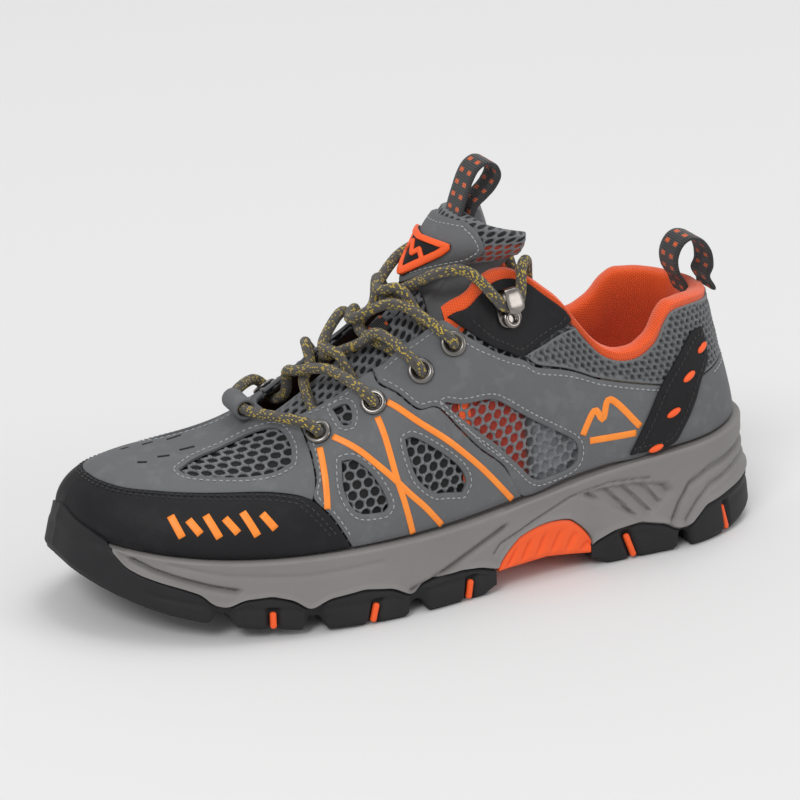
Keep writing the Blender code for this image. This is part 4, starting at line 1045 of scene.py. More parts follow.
def surface_rows(low_u, high_u, low_t, high_t, cell, surface):
    """Even points over a stretch of the surface, row by row."""
    out = []
    ts = np.arange(low_t, high_t, cell / 78.0)
    for number, t in enumerate(ts):
        us = np.linspace(low_u, high_u, 500)
        placed = surface(us, np.full(500, t), np.zeros(500))
        run = travelled(placed)
        even = np.arange((number % 2) * cell / 2, run[-1], cell)
        out.append(np.stack([np.interp(even, run, us), np.full(len(even), t)], -1))
    return np.vstack(out)


def nearest(points, line):
    """Millimetres from each point to the closest point of a dense line."""
    tree = kdtree.KDTree(len(line))
    for number, p in enumerate(line):
        tree.insert(p, number)
    tree.balance()
    return np.array([tree.find(p)[2] for p in points])


def panel(name, outline, finish, node, holes=(), chart=side_chart, surface=on_upper,
          low=SKIN_LOW, high=SKIN_HIGH, cell=CELL, body="shoe", relief=None, edge=EDGE_ROUND, mark=None):
    """A sheet cut to an outline with rounded edges, dipped a little along its row of stitches."""
    loops = [rounded_loop(outline, surface=surface, chart=chart)]
    loops += [rounded_loop(h, surface=surface, chart=chart) for h in holes]
    inner = [inset(loops[0], edge, surface)] + [inset(loop, -edge, surface) for loop in loops[1:]]
    flat_loops = [chart(ring[:, 0], ring[:, 1]) for ring in inner]
    low_u, low_t = loops[0].min(0)
    high_u, high_t = loops[0].max(0)
    field = surface_rows(low_u, high_u, low_t, high_t, cell, surface)
    field_flat = chart(field[:, 0], field[:, 1])
    keep = inside(field_flat, flat_loops[0])
    for ring in flat_loops[1:]:
        keep &= ~inside(field_flat, ring)
    field = field[keep]
    rim_line = np.vstack([surface(r[:, 0], r[:, 1], np.zeros(len(r))) for r in inner])
    placed = surface(field[:, 0], field[:, 1], np.zeros(len(field)))
    away = nearest(placed, rim_line)
    field = field[away > cell * .55]
    away = away[away > cell * .55] + edge
    ring_count = sum(len(r) for r in inner)
    spots = np.vstack(inner + [field])
    flat = chart(spots[:, 0], spots[:, 1])
    edges = []
    start = 0
    for ring in inner:
        edges += [(start + i, start + (i + 1) % len(ring)) for i in range(len(ring))]
        start += len(ring)
    cut = geometry.delaunay_2d_cdt([Vector(p) for p in flat], edges, [], 0, 1e-5, True)
    index = [o[0] if o else -1 for o in cut[3]]
    tri = np.array([[index[i] for i in f] for f in cut[2]])
    tri = tri[(tri >= 0).all(1)]
    centre = flat[tri].mean(1)
    good = inside(centre, flat_loops[0])
    for ring in flat_loops[1:]:
        good &= ~inside(centre, ring)
    tri = tri[good]
    depth = np.concatenate([np.full(ring_count, edge), away])
    lift = high + .22 * (1 - np.exp(-depth / 3.0)) - .34 * np.exp(-((depth - STITCH_INSET) / .75) ** 2)
    pressed = np.zeros(len(spots)) if relief is None else relief(spots, depth)
    lift = lift + pressed
    top = surface(spots[:, 0], spots[:, 1], lift)
    under = surface(spots[:, 0], spots[:, 1], np.full(len(spots), low))
    points = [top, under]
    count = len(spots)
    faces = [tuple(int(i) for i in f) for f in tri]
    faces += [tuple(int(i) + count for i in reversed(f)) for f in tri]
    start = 0
    base = 2 * count
    for ring, outer in zip(inner, loops):
        n = len(ring)
        points.append(surface(outer[:, 0], outer[:, 1], np.full(n, high - edge * .7)))
        points.append(surface(outer[:, 0], outer[:, 1], np.full(n, low)))
        for i in range(n):
            j = (i + 1) % n
            faces.append((start + i, start + j, base + j, base + i))
            faces.append((base + i, base + j, base + n + j, base + n + i))
            faces.append((base + n + i, base + n + j, count + start + j, count + start + i))
        start += n
        base += 2 * n
    points = np.vstack(points)
    values = None
    # mark keeps how deep the relief presses in, for a finish that paints shade by depth.
    if mark:
        values = {mark: np.concatenate([np.clip(-pressed, 0, 1), np.zeros(len(points) - len(spots))])}
    made = piece(name, points, faces, finish, body=body, smooth=50, values=values)
    if node:
        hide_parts(node)


def leather_finish(name, low, high, rough, grain, specular=0.28):
    """Nubuck or smooth leather: fine pebbled grain, soft clouding and faint scuffs."""
    f = Finish(name, rough=rough, specular=specular)
    cloud = f.noise(22.0, 4.0)
    fine = f.noise(1100.0, 3.0)
    pebble = f.cells(grain)
    scuff = f.noise(160.0, 5.0).above(0.60, 0.08)
    tone = f.mix(cloud * 0.75 + fine * 0.25, low, high)
    f.paint(f.mix(scuff * 0.18, tone, tuple(min(1.0, c * 1.5) for c in high)), fine * 0.16 + (rough - 0.08))
    return f.emboss(pebble * 0.7 + fine * 0.4, 0.00016, 0.7)


grey_leather = leather_finish("grey_leather", (0.098, 0.100, 0.104), (0.138, 0.141, 0.147), 0.66, 900.0)
black_leather = leather_finish("black_leather", (0.009, 0.009, 0.010), (0.017, 0.017, 0.019), 0.56, 700.0,
                               0.16)


def hole_at(u, t, radius, count=24):
    """A true circle on the upper about one spot."""
    c, along, up, n = frame_at(u, t)
    du = (last(u + .05, t) - last(u - .05, t)) / .1
    dt = (last(u, t + .01) - last(u, t - .01)) / .02
    jac = np.stack([du, dt], -1)
    ring = []
    for a in np.linspace(0, 2 * np.pi, count, endpoint=False):
        move = np.linalg.lstsq(jac, radius * (np.cos(a) * along + np.sin(a) * up), rcond=None)[0]
        ring.append((float(u + move[0]), float(t + move[1])))
    return ring


def shifted(line, dk, dt=0.0):
    return [(k + dk, t + dt) for k, t in line]


def sided(line, side):
    """The line on one side of the shoe: stations count as negative on the lateral side."""
    return [(side * k, t) for k, t in line]


# Toe cap: black leather wrapped round the toe, its upper edge double stitched.
cap = shifted(CAP_EDGE, 0, -SEAM_T) + shifted(CAP_TAIL, -SEAM_K)
hem_line = [(k, HEM) for k in (-5.6, -4.6, -3.6, -2.6, -1.6, -.8, 0, .8, 1.6, 2.6, 3.6, 4.6, 5.6)]
cap_outline = sided(cap, -1) + hem_line + list(reversed(cap)) + [(0, .6015)]
panel("toe_cap_leather", cap_outline, black_leather, "toe_cap", chart=toe_chart)

# Vamp: grey leather across the toes, cut out over the mesh at each side.
vamp_side = shifted(CAP_EDGE, 0, SEAM_T) + [(6.1 - SEAM_K, .42), (6.15 - SEAM_K, .6), (6.12 - SEAM_K, .80),
                                            (5.9, .86), (5.78, .93)]
vamp_side += [(5.76, .998)]
vamp_outline = [(0, .6085)] + sided(vamp_side, -1) + list(reversed(vamp_side))
panel("vamp_leather", vamp_outline, grey_leather, "vamp",
      holes=[TOE_WINDOW, sided(TOE_WINDOW, -1)], chart=toe_chart)

for side, word in SIDES:
    # Side panel: the forward half of the eyestay, with windows below the first eyelets.
    outline = [(6.13 + SEAM_K, .79), (6.65, .75), (7, .73), (7.4, .72)] + shifted(QUARTER_SEAM, -SEAM_K)
    outline += [(9.6, HEM), (8.6, HEM), (7.6, HEM)] + shifted(list(reversed(CAP_TAIL)), SEAM_K)
    outline += [(5.97 + SEAM_K, .33), (6.1 + SEAM_K, .42), (6.15 + SEAM_K, .6)]
    openings = [sided(w, side) for w in (SMALL_WINDOW, WINDOW_1, WINDOW_2)]
    openings += [hole_at(side * k, t, EYELET_HOLE) for k, t in EYELETS[:2]]
    panel("side_panel_leather_" + word, sided(outline, side), grey_leather,
          "side_panel_" + word, holes=openings)

    # Quarter: the rear half of the eyestay and the side of the heel.
    outline = shifted(QUARTER_SEAM, SEAM_K) + [(11.5, HEM), (12.5, HEM), (13.5 - SEAM_K, HEM)]
    outline += [(13.95 - SEAM_K, .17), (14.3 - SEAM_K, .31), (13.6, .325), (12.8, .35), (12.0, .375),
                (11.2, .378),
                (10.85, .405), (10.45, .425), (10, .465), (9.55, .545), (9.22, .635), (9.06, .655),
                (8.6, .67), (8.25, .69), (7.9, .69)]
    openings = [sided(WINDOW_3, side)] + [hole_at(side * k, t, EYELET_HOLE) for k, t in EYELETS[2:]]
    panel("quarter_leather_" + word, sided(outline, side), grey_leather, "quarter_" + word,
          holes=openings)

    # Ankle patch: smooth black leather under the lace hook.
    outline = [(9.26, .645), (9.6, .56), (10, .48), (10.5, .437), (10.88, .418), (11.5, .475), (12.2, .575),
               (12.42, .625), (12.3, .665), (11.8, .705), (11.6, .715), (11.25, .705), (10.65, .675),
               (10.2, .64), (9.75, .62), (9.45, .637)]
    panel("ankle_patch_leather_" + word, sided(outline, side), black_leather,
          "ankle_patch_" + word)


# ---- Heel: counter panel, collar mesh, strap -----------------------------------------------------
# Grey leather closes the heel below; knitted air mesh with oval cells covers the collar above; a slanting
# black strap with raised orange tabs is laid over both at each side.
COLLAR_PITCH = 3.3


def round_heel(upper, lower):
    """A closed outline round the heel, from an upper and a lower line along one side."""
    upper_back = [(2 * LAST_STATION - k, t) for k, t in reversed(upper)]
    lower_back = [(2 * LAST_STATION - k, t) for k, t in lower]
    return upper + upper_back + lower_back + list(reversed(lower))


counter_top = [(14.3 + SEAM_K, .31), (15.2, .335), (16.2, .37), (17.2, .40), (18.2, .42)]
counter = [(13.95 + SEAM_K, .17)] + counter_top
low_edge = [(13.5 + SEAM_K, HEM), (14.5, HEM), (15.5, HEM), (16.5, HEM), (17.5, HEM), (18.5, HEM)]
panel("heel_counter_leather", round_heel(counter, low_edge), grey_leather, "heel_counter")

collar_low = [(11.0, .413), (11.25, .388), (12.0, .384), (12.8, .359), (13.6, .334), (14.3, .319),
              (15.2, .344), (16.2, .379), (17.2, .409), (18.2, .429)]
collar_high = [(10.92, .414), (11.55, .466), (12.25, .56), (12.44, .59), (12.56, .535), (12.8, .47),
               (13.15, .445), (13.55, .465), (14.05, .545), (14.4, .635), (14.8, .70), (15.5, .725),
               (16.5, .735), (17.5, .74), (18.5, .74)]


def collar_relief(spots, depth):
    """Oval cells pressed into the collar mesh, fading out at its edges."""
    k = spots[:, 0]
    skin = last(k, spots[:, 1])
    run = arc_station(k)
    d = cell_distance(run, skin[:, 2] * 1.12, COLLAR_PITCH)
    cells = 1 - steps(.20 * COLLAR_PITCH, .46 * COLLAR_PITCH, d)
    return -.95 * cells * steps(.5, 1.6, depth)


dense = np.linspace(9, 2 * LAST_STATION - 9, 800)
dense_skin = last(dense, np.full(800, .5))
dense_run = travelled(dense_skin)


def arc_station(u):
    """Millimetres round the collar at half height."""
    return np.interp(u, dense, dense_run)


def collar_finish():
    f = Finish("collar_mesh", rough=0.82, specular=0.25, sheen=0.2)
    fibres = f.noise(1700.0, 2.0)
    cloud = f.noise(30.0, 3.0)
    hollow = f.attribute("cell")
    thread = f.mix(fibres * 0.6 + cloud * 0.4, (0.085, 0.088, 0.092), (0.20, 0.205, 0.21))
    # Painted shade: the pressed cells darken to near black with their depth.
    f.paint(f.mix(hollow, thread, (0.018, 0.018, 0.020)))
    return f.emboss(fibres, 0.00015, 0.8)


# The depth of each pressed cell is kept as the cell attribute, which the collar finish paints as shade.
panel("collar_air_mesh", round_heel(collar_high, collar_low), collar_finish(), "collar_mesh",
      cell=0.85, relief=collar_relief, mark="cell")


def strap_relief(spots, depth):
    """A raised welt along both edges of the strap and a flat channel between."""
    return .45 * np.exp(-((depth - 1.5) / .9) ** 2) + .35 * np.exp(-((depth - 4.6) / .7) ** 2) - .15


STRAP = [(13.0, .03), (13.4, .17), (13.9, .34), (14.65, .49), (15.2, .58), (15.7, .60), (15.7, .52),
         (15.6, .42), (15.15, .33), (14.75, .22), (14.3, .10), (13.95, .03)]
STRAP_LOW = .4
STRAP_HIGH = 1.45
STRAP_TABS = [(15.42, .49), (14.66, .355), (14.0, .185), (13.56, .035)]
for side, word in SIDES:
    panel("heel_strap_leather_" + word, sided(STRAP, side), black_leather,
          "heel_strap_" + word, low=STRAP_LOW, high=STRAP_HIGH, relief=strap_relief, cell=1.3)
    for number, (k, t) in enumerate(STRAP_TABS):
        c, along, up, n = frame_at(side * k, t)
        unpick()
        bpy.ops.mesh.primitive_uv_sphere_add(segments=20, ring_count=12, radius=1,
                                             scale=(3.5 * MM, 1.45 * MM, 1.2 * MM))
        tab = bpy.context.active_object
        tab.name = "strap_tab_%s_%d" % (word, number)
        bpy.ops.object.transform_apply(location=False, rotation=False, scale=True)
        bpy.ops.object.shade_smooth()
        lean = unit(along * .96 + up * .28)
        place_piece(tab, straight((c + n * 1.5, lean, unit(np.cross(n, lean)), n)), orange_plastic)


# ---- Stitching -----------------------------------------------------------------------------------
# Lockstitch thread sunk in a groove: pale grey round the windows and seams, black along the toe cap, the
# ankle patch and the heel strap.
STITCH_PITCH = 2.5
STITCH_LONG = 1.75
STITCH_RADIUS = 0.30
STITCH_SIDES = 6
STITCH_LIFT = 0.12
BLACK_STITCH_LIFT = 0.14
STITCH_LINES = [[(6.62, .08), (6.35, .21), (6.07, .33), (6.2, .43), (6.25, .6), (6.2, .76)],
                [(6.35, .755), (6.65, .725), (7, .705), (7.4, .695)],
                [(7.85, .665), (8.25, .66), (8.6, .645), (9.0, .63), (9.2, .60), (9.5, .525), (9.95, .45),
                 (10.45, .405), (10.85, .385), (11.2, .358), (12.0, .352), (12.8, .328), (13.6, .302),
                 (14.1, .29)],
                [(15.9, .335), (16.2, .345), (17.2, .375), (18.2, .395), (18.9, .40)]]
PATCH_STITCHES = [(9.75, .575), (10.08, .50), (10.55, .458), (10.9, .44), (11.45, .493), (12.1, .58),
                  (12.3, .63)]


def thread_finish(name, low, high):
    f = Finish(name, rough=0.75, specular=0.3, sheen=0.2)
    f.paint(f.mix(f.noise(1500.0, 2.0), low, high))
    return f.emboss(f.noise(2500.0, 1.0), 0.00006, 0.6)


grey_thread = thread_finish("grey_thread", (0.20, 0.205, 0.21), (0.42, 0.43, 0.44))
black_thread = thread_finish("black_thread", (0.010, 0.010, 0.011), (0.035, 0.035, 0.038))
stitch_ring = np.linspace(0, 2 * np.pi, STITCH_SIDES, endpoint=False)
STITCH_SHAPE = [(-.5, .25), (-.36, .85), (0, 1.0), (.36, .85), (.5, .25)]


def stitch_run(line, closed, lift, surface=on_upper, pitch=STITCH_PITCH):
    """Points and faces of one row of stitches along a line in (u, t)."""
    placed = surface(line[:, 0], line[:, 1], np.full(len(line), lift))
    if closed:
        line = np.vstack([line, line[:1]])
        placed = np.vstack([placed, placed[:1]])
    run = travelled(placed)
    count = int(run[-1] / pitch)
    if count < 2:
        return [], []
    centres = (np.arange(count) + .5) * run[-1] / count

    def at(distance):
        u = np.interp(distance, run, line[:, 0])
        t = np.interp(distance, run, line[:, 1])
        return surface(u, t, np.full(len(u), lift)), u, t

    middle, u, t = at(centres)
    ahead = at(np.minimum(centres + .4, run[-1]))[0]
    behind = at(np.maximum(centres - .4, 0))[0]
    along = unit(ahead - behind)
    above = surface(u, t, np.full(len(u), lift + 1.0)) - middle
    out = unit(above - along * (above * along).sum(1)[:, None])
    beside = np.cross(along, out)
    points = []
    faces = []
    for number in range(count):
        base = len(points)
        for place, size in STITCH_SHAPE:
            sag = -.25 * (abs(place) * 2) ** 3
            for a in stitch_ring:
                points.append(middle[number] + along[number] * place * STITCH_LONG
                              + beside[number] * np.cos(a) * STITCH_RADIUS * size
                              + out[number] * (np.sin(a) * STITCH_RADIUS * size + sag))
        for f in ring_faces(STITCH_SIDES, len(STITCH_SHAPE)):
            faces.append(tuple(base + i for i in f))
    return points, faces


def row_piece(name, rows, finish, body="shoe"):
    """One object from several rows of stitches or beads, each a (points, faces) pair."""
    points = []
    faces = []
    for row_points, row_faces in rows:
        base = len(points)
        points += list(row_points)
        faces += [tuple(base + i for i in f) for f in row_faces]
    return piece(name, points, faces, finish, body=body, smooth=SMOOTH_ALL)


def open_line(points, side, step=EDGE_POINTS):
    """An open run in (u, t) as even steps of a smooth curve."""
    p = np.array(sided(points, side), float)
    place = np.linspace(0, len(p) - 1, 30 * len(p))
    fine = curve(p, place)
    placed = on_upper(fine[:, 0], fine[:, 1], np.zeros(len(fine)))
    run = travelled(placed)
    even = np.linspace(0, run[-1], max(3, int(run[-1] / step)))
    return at_distances(fine, run, even)


def wide_loop(window, side, away):
    """A window's outline moved outward by a distance."""
    return inset(rounded_loop(sided(window, side)), -away)


for side, word in SIDES:
    rows = []
    for window in (TOE_WINDOW, WINDOW_1, WINDOW_2, WINDOW_3, SMALL_WINDOW):
        rows.append(stitch_run(wide_loop(window, side, STITCH_INSET), True, STITCH_LIFT))
    seam = open_line(QUARTER_SEAM[1:-1], side)
    rows.append(stitch_run(inset(seam, STITCH_INSET * side, closed=False), False, STITCH_LIFT))
    for line in STITCH_LINES:
        rows.append(stitch_run(open_line(line, side), False, STITCH_LIFT))
    row_piece("grey_stitching_" + word, rows, grey_thread)
    rows = []
    for drop in (.022, .052):
        cap_row = [(k, t - drop) for k, t in [(0.05, .604)] + CAP_EDGE[:-1]]
        cap_row += [(5.93 - drop * 4, .30), (6.18 - drop * 4, .20), (6.42 - drop * 4, .10)]
        rows.append(stitch_run(open_line(cap_row, side), False, BLACK_STITCH_LIFT))
    rows.append(stitch_run(open_line(PATCH_STITCHES, side), False, BLACK_STITCH_LIFT))
    strap_loop = inset(rounded_loop(sided(STRAP, side)), 2.8)
    rows.append(stitch_run(strap_loop, True, STRAP_HIGH + .15))
    row_piece("black_stitching_" + word, rows, black_thread)


# ---- Printed lines and marks ---------------------------------------------------------------------
# Amber rubber print fans out below the eyelets. The marks on the toe and the quarter are plain shapes.
LINE_HALF = 1.25
LINE_HIGH = 0.42
BAR_HALF = 1.5
PEAK_HALF = 1.4
MARK_HIGH = 0.4
PRINT_LINES = [[(6.33, .555), (6.27, .40), (6.2, .25)],
               [(6.62, .565), (7.0, .445), (7.35, .33), (7.85, .19), (8.25, .10), (8.6, .02)],
               [(7.5, .515), (7.55, .44), (7.65, .27), (7.8, .14), (7.95, .02)],
               [(7.75, .54), (8.3, .39), (9, .25), (9.6, .14), (10.25, .02)]]
TOE_BARS = [3.3, 3.65, 4.0, 4.35, 4.7, 5.05]
PEAKS = [[(11.95, .14), (12.3, .225), (12.45, .19), (12.7, .27), (13.25, .14)],
         [(12.1, .115), (13.15, .115)]]


def print_finish():
    f = Finish("amber_print", rough=0.45, specular=0.4)
    cloud = f.noise(120.0, 3.0)
    f.paint(f.mix(cloud, (0.83, 0.20, 0.018), (0.96, 0.30, 0.035)))
    return f.emboss(f.noise(1300.0, 2.0), 0.00004, 0.5)


amber = print_finish()
RIBBON_SHAPE = [(-1.0, -.3), (-1.0, .5), (-.82, .85), (0, 1.0), (.82, .85), (1.0, .5), (1.0, -.3)]


def ribbon(line, half, high, surface=on_upper):
    """A low flat bead laid along a line in (u, t)."""
    rings = []
    count = len(line)
    for across, up in RIBBON_SHAPE:
        moved = inset(line, 1.0, surface, closed=False)
        spot = line + (moved - line) * (across * half)
        rings.append(surface(spot[:, 0], spot[:, 1], np.full(count, up * high + .08)))
    stack = np.stack(rings, 1)
    return stack.reshape(-1, 3), ring_faces(len(RIBBON_SHAPE), count)


for side, word in SIDES:
    rows = [ribbon(open_line(line, side), LINE_HALF, LINE_HIGH) for line in PRINT_LINES]
    row_piece("print_lines_" + word, rows, amber)
rows = []
for number, k in enumerate(TOE_BARS):
    tall = .055 if number % 2 else .085
    bar = open_line([(k + .10, .27 - tall), (k, .27), (k - .10, .27 + tall)], LATERAL)
    rows.append(ribbon(bar, BAR_HALF, MARK_HIGH))
row_piece("toe_bars", rows, amber)
rows = [ribbon(open_line(line, LATERAL), PEAK_HALF, MARK_HIGH) for line in PEAKS]
row_piece("quarter_peaks", rows, amber)

# Vents: short dark marks on the vamp on each side of the ridge.
VENTS = [(2.2, .84), (3.0, .88), (3.75, .91)]
VENT_HALF = 0.7
VENT_HIGH = 0.3
rows = []
for side, word in SIDES:
    for k, t in VENTS:
        vent = open_line([(k, t), (k + .2, t - .002), (k + .4, t - .004)], side)
        rows.append(ribbon(vent, VENT_HALF, VENT_HIGH))
row_piece("vamp_vents", rows, black_leather)

# ---- Tongue --------------------------------------------------------------------------------------
# The tongue is air mesh over foam. A lower part lies under the lacing; above the last crossing a thick
# padded flap wraps the ankle, faced with grey leather and carrying a moulded shield.
TONGUE_THICK = 2.6
FLAP_FLOOR = 122.5
FLAP_RISE = 24.0
FLAP_TURN = 92


def under_lacing(u, t, lift=0.0):
    """Face of the lower tongue, sunk below the upper so the cord has room over it."""
    t = np.asarray(t, float)
    sink = -7.0 - 3.2 * np.clip((1 - t) / .2, 0, 1) ** 1.2
    return on_upper(u, t, sink + lift)


def across_throat(name, ks, low_ts, lift_low, lift_high, finish, node, columns, cells=0.0,
                  edge=.5):
    """A sheet over the ridge from one side to the other, pressed with cells where it is mesh."""
    rings = []
    strands = []
    for number, (k, low_t) in enumerate(zip(ks, low_ts)):
        half = np.linspace(low_t, 1.0, columns)
        u = np.concatenate([np.full(columns, -k), np.full(columns - 1, k)])
        t = np.concatenate([half, half[::-1][1:]])
        skin = last(u, t)
        side_edge = np.minimum(np.arange(len(u)), len(u) - 1 - np.arange(len(u)))
        rim_drop = edge * (1 - steps(0, 3, side_edge))
        end_drop = edge * (1 - steps(0, 3, min(number, len(ks) - 1 - number)))
        lift = np.full(len(u), lift_high) - rim_drop - end_drop
        strand = np.ones(len(u))
        if cells:
            strand = steps(.26 * cells, .46 * cells, cell_distance(skin[:, 0] * 1.15, skin[:, 1], cells))
            lift = lift - 1.3 * (1 - strand)
        top = under_lacing(u, t, lift)
        under = under_lacing(u[::-1], t[::-1], np.full(len(u), lift_low))
        rings.append(np.vstack([top, under]))
        strands += list(strand) + [0.0] * len(u)
    count = len(rings[0])
    made = piece(name, np.vstack(rings), ring_faces(count, len(rings)), finish, smooth=60,
                 values={"strand": strands, "station": np.zeros(len(strands)),
                         "red": np.zeros(len(strands))})
    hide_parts(node)


ks = np.arange(5.55, 8.851, .03)
low_ts = np.interp(ks, [5.55, 6.2, 6.8, 7.4, 8.0, 8.45, 8.85], [.72, .64, .62, .61, .60, .60, .60])
across_throat("tongue_lower_mesh", ks, low_ts, -TONGUE_THICK, 0.0, air_mesh_finish,
              "tongue_lower", 60, cells=4.2)
ks = np.linspace(8.3, 8.83, 14)
across_throat("tongue_facing_lower_leather", ks, np.full(14, .93), .3, .95, grey_leather,
              "tongue_facing_lower", 12, edge=.25)


def webbing_finish():
    """Ribbed black webbing with orange dashes woven in along two lines."""
    f = Finish("black_webbing", rough=0.85, specular=0.2, sheen=0.25)
    along = f.attribute("along")
    across = f.attribute("across")
    rib = (along / 0.95).math("FRACT") - 0.5
    rib = 1.0 - rib.math("ABSOLUTE") * 2.0
    warp = (across / 1.1).math("FRACT") - 0.5
    warp = 1.0 - warp.math("ABSOLUTE") * 2.0
    dash = 1.0 - ((along / 5.0).math("FRACT") - 0.5).math("ABSOLUTE").above(0.17, 0.03)
    lines = 1.0 - ((across.math("ABSOLUTE") - 3.3).math("ABSOLUTE")).above(1.45, 0.12)
    fibres = f.noise(2200.0, 2.0)
    # Painted shade: the colour darkens in the grooves between the ribs, in the black and the orange dashes
    # alike; the fibre noise is the yarn's own tone.
    dark = f.mix(rib * 0.6 + fibres * 0.4, (0.010, 0.010, 0.011), (0.048, 0.048, 0.052))
    bright = f.mix(rib * 0.5 + fibres * 0.4, (0.40, 0.05, 0.01), (0.90, 0.17, 0.03))
    f.paint(f.mix(dash * lines, dark, bright))
    return f.emboss(rib * 0.8 + warp * 0.2 + fibres * 0.2, 0.00035)


webbing = webbing_finish()

# Lace keeper: a webbing band across the tongue that the cord runs through.
ks = np.linspace(7.88, 8.16, 12)
rings = []
along = []
across = []
for k in ks:
    half = np.linspace(.90, 1.0, 16)
    u = np.concatenate([np.full(16, -k), np.full(15, k)])
    t = np.concatenate([half, half[::-1][1:]])
    arch = 1.0 - np.abs(np.linspace(-1, 1, len(u))) ** 4
    top = under_lacing(u, t, .55 + .55 * arch)
    under = under_lacing(u[::-1], t[::-1], np.full(len(u), .35))
    rings.append(np.vstack([top, under]))
    run = travelled(top)
    along += list(run) + list(run[::-1])
    across += [(k - 8.02) * 19.0] * (2 * len(u))
keeper = piece("lace_keeper_webbing", np.vstack(rings), ring_faces(len(rings[0]), len(rings)), webbing,
               smooth=60, values={"along": along, "across": across})
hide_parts("lace_keeper")


# Each pair is a row of heights and what the flap measures there: how far back its front face stands, how
# deep it is and how wide.
FLAP_NOSE = [115, 124.5, 136, 146, 150], [-6.0, -1.0, 6.5, 17.5, 22]
FLAP_DEEP = [122, 130, 136, 142, 147], [34, 37, 33, 25, 12]
FLAP_WIDE = [122, 126, 130, 136, 142, 147], [12, 14.5, 19, 23.5, 25, 23]


def flap(angle, v, lift=0.0):
    """Front face of the flap: v runs 0 (flex line) to 1 (top), the angle in degrees round to the sides."""
    angle, v, lift = np.broadcast_arrays(*(np.asarray(given, float) for given in (angle, v, lift)))
    bend = np.abs(angle) / 90.0
    z = FLAP_FLOOR + 6.0 * bend * (1 - v) + v * (FLAP_RISE - 7.0 * bend ** 2)
    nose = sum(np.interp(z + d, *FLAP_NOSE) for d in (-2, 0, 2)) / 3
    deep = sum(np.interp(z + d, *FLAP_DEEP) for d in (-2, 0, 2)) / 3
    wide = sum(np.interp(z + d, *FLAP_WIDE) for d in (-2, 0, 2)) / 3
    a = np.radians(angle)
    normal = unit(np.stack([-np.cos(a) / deep, np.sin(a) / wide, .55 * np.cos(a) / deep], -1))
    spot = np.stack([nose + deep * (1 - np.cos(a)), wide * np.sin(a), z], -1)
    return spot + normal * lift[..., None]


# Neck: soft leather, curved where the flap leaves the lower tongue.
NECK_COLUMNS = 61
NECK_ROWS = 22
share = np.linspace(-1, 1, NECK_COLUMNS)
half_t = 1.0 - np.abs(share) * .42
low_line = under_lacing(np.where(share < 0, -8.55, 8.55), half_t, -2.4 - .6 * np.abs(share))
mid_t = 1.0 - np.abs(share) * .36
mid_line = under_lacing(np.where(share < 0, -9.35, 9.35), mid_t, -3.4 - 1.2 * np.abs(share))
high_line = flap(share * FLAP_TURN, .16, -5.4)
place = np.linspace(0, 2, NECK_ROWS)
rings = []
for p in place:
    mixed = (1 - p) * (2 - p) / 2 * low_line + p * (2 - p) * mid_line + p * (p - 1) / 2 * high_line
    side_step = unit(np.gradient(mixed, axis=0))
    rise_step = unit(high_line - low_line)
    face = unit(np.cross(side_step, rise_step))
    rings.append(np.vstack([mixed, mixed[::-1] + face[::-1] * .9]))
neck = piece("tongue_neck", np.vstack(rings), ring_faces(2 * NECK_COLUMNS, NECK_ROWS), grey_leather,
             body=None, smooth=60)
tuple((low_line[NECK_COLUMNS // 2] + RECENTRE) * MM)
tuple((high_line[NECK_COLUMNS // 2] + RECENTRE) * MM)
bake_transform(neck)

# Pad: foam under air mesh, pressed with oval cells and rounded off at its edge.
PAD_ROWS = 88
PAD_COLUMNS = 230
PAD_PITCH = 3.9
PAD_THICK = 7.1
FACING_TURN = 58
angles = np.linspace(-FLAP_TURN, FLAP_TURN, PAD_COLUMNS)
levels = np.linspace(0, 1, PAD_ROWS)
aa, vv = np.meshgrid(angles, levels, indexing="ij")
skin = flap(aa, vv)
side_edge = 1 - np.abs(aa) / FLAP_TURN
round_off = (1 - np.clip(side_edge / .07, 0, 1)) ** 2 + (1 - np.clip((1 - vv) / .14, 0, 1)) ** 2
round_off = np.minimum(round_off, 1.0)
thick = PAD_THICK * np.minimum(1.0, .55 + 1.2 * vv)
arc_steps = np.linalg.norm(np.diff(skin, axis=0), axis=2)
arc = np.concatenate([np.zeros((1, len(levels))), np.cumsum(arc_steps, 0)], 0)
arc = arc - arc[len(angles) // 2]
strand = steps(.24 * PAD_PITCH, .47 * PAD_PITCH, cell_distance(arc, skin[..., 2] * 1.18, PAD_PITCH))
outer_lift = -.45 + .35 - thick * .45 * round_off - .95 * (1 - strand) * (1 - .6 * round_off)
outer_lift = np.where(np.abs(aa) < FACING_TURN, np.minimum(outer_lift, -.5 - .5 * (1 - strand)), outer_lift)
inner_lift = -.4 - thick + thick * .45 * round_off
outer = flap(aa, vv, outer_lift)
inner = flap(aa, vv, inner_lift)
rows = len(levels)
points = np.vstack([outer.reshape(-1, 3), inner.reshape(-1, 3)])
base = len(angles) * rows
faces = []
for c in range(len(angles) - 1):
    for r in range(rows - 1):
        a = c * rows + r
        faces.append((a, a + rows, a + rows + 1, a + 1))
        faces.append((base + a, base + a + 1, base + a + rows + 1, base + a + rows))
    foot, head = c * rows, c * rows + rows - 1
    faces.append((foot, base + foot, base + foot + rows, foot + rows))
    faces.append((head, head + rows, base + head + rows, base + head))
for r in range(rows - 1):
    for column, flip in ((0, False), (len(angles) - 1, True)):
        a = column * rows + r
        quad = (a, a + 1, base + a + 1, base + a)
        faces.append(quad if not flip else tuple(reversed(quad)))


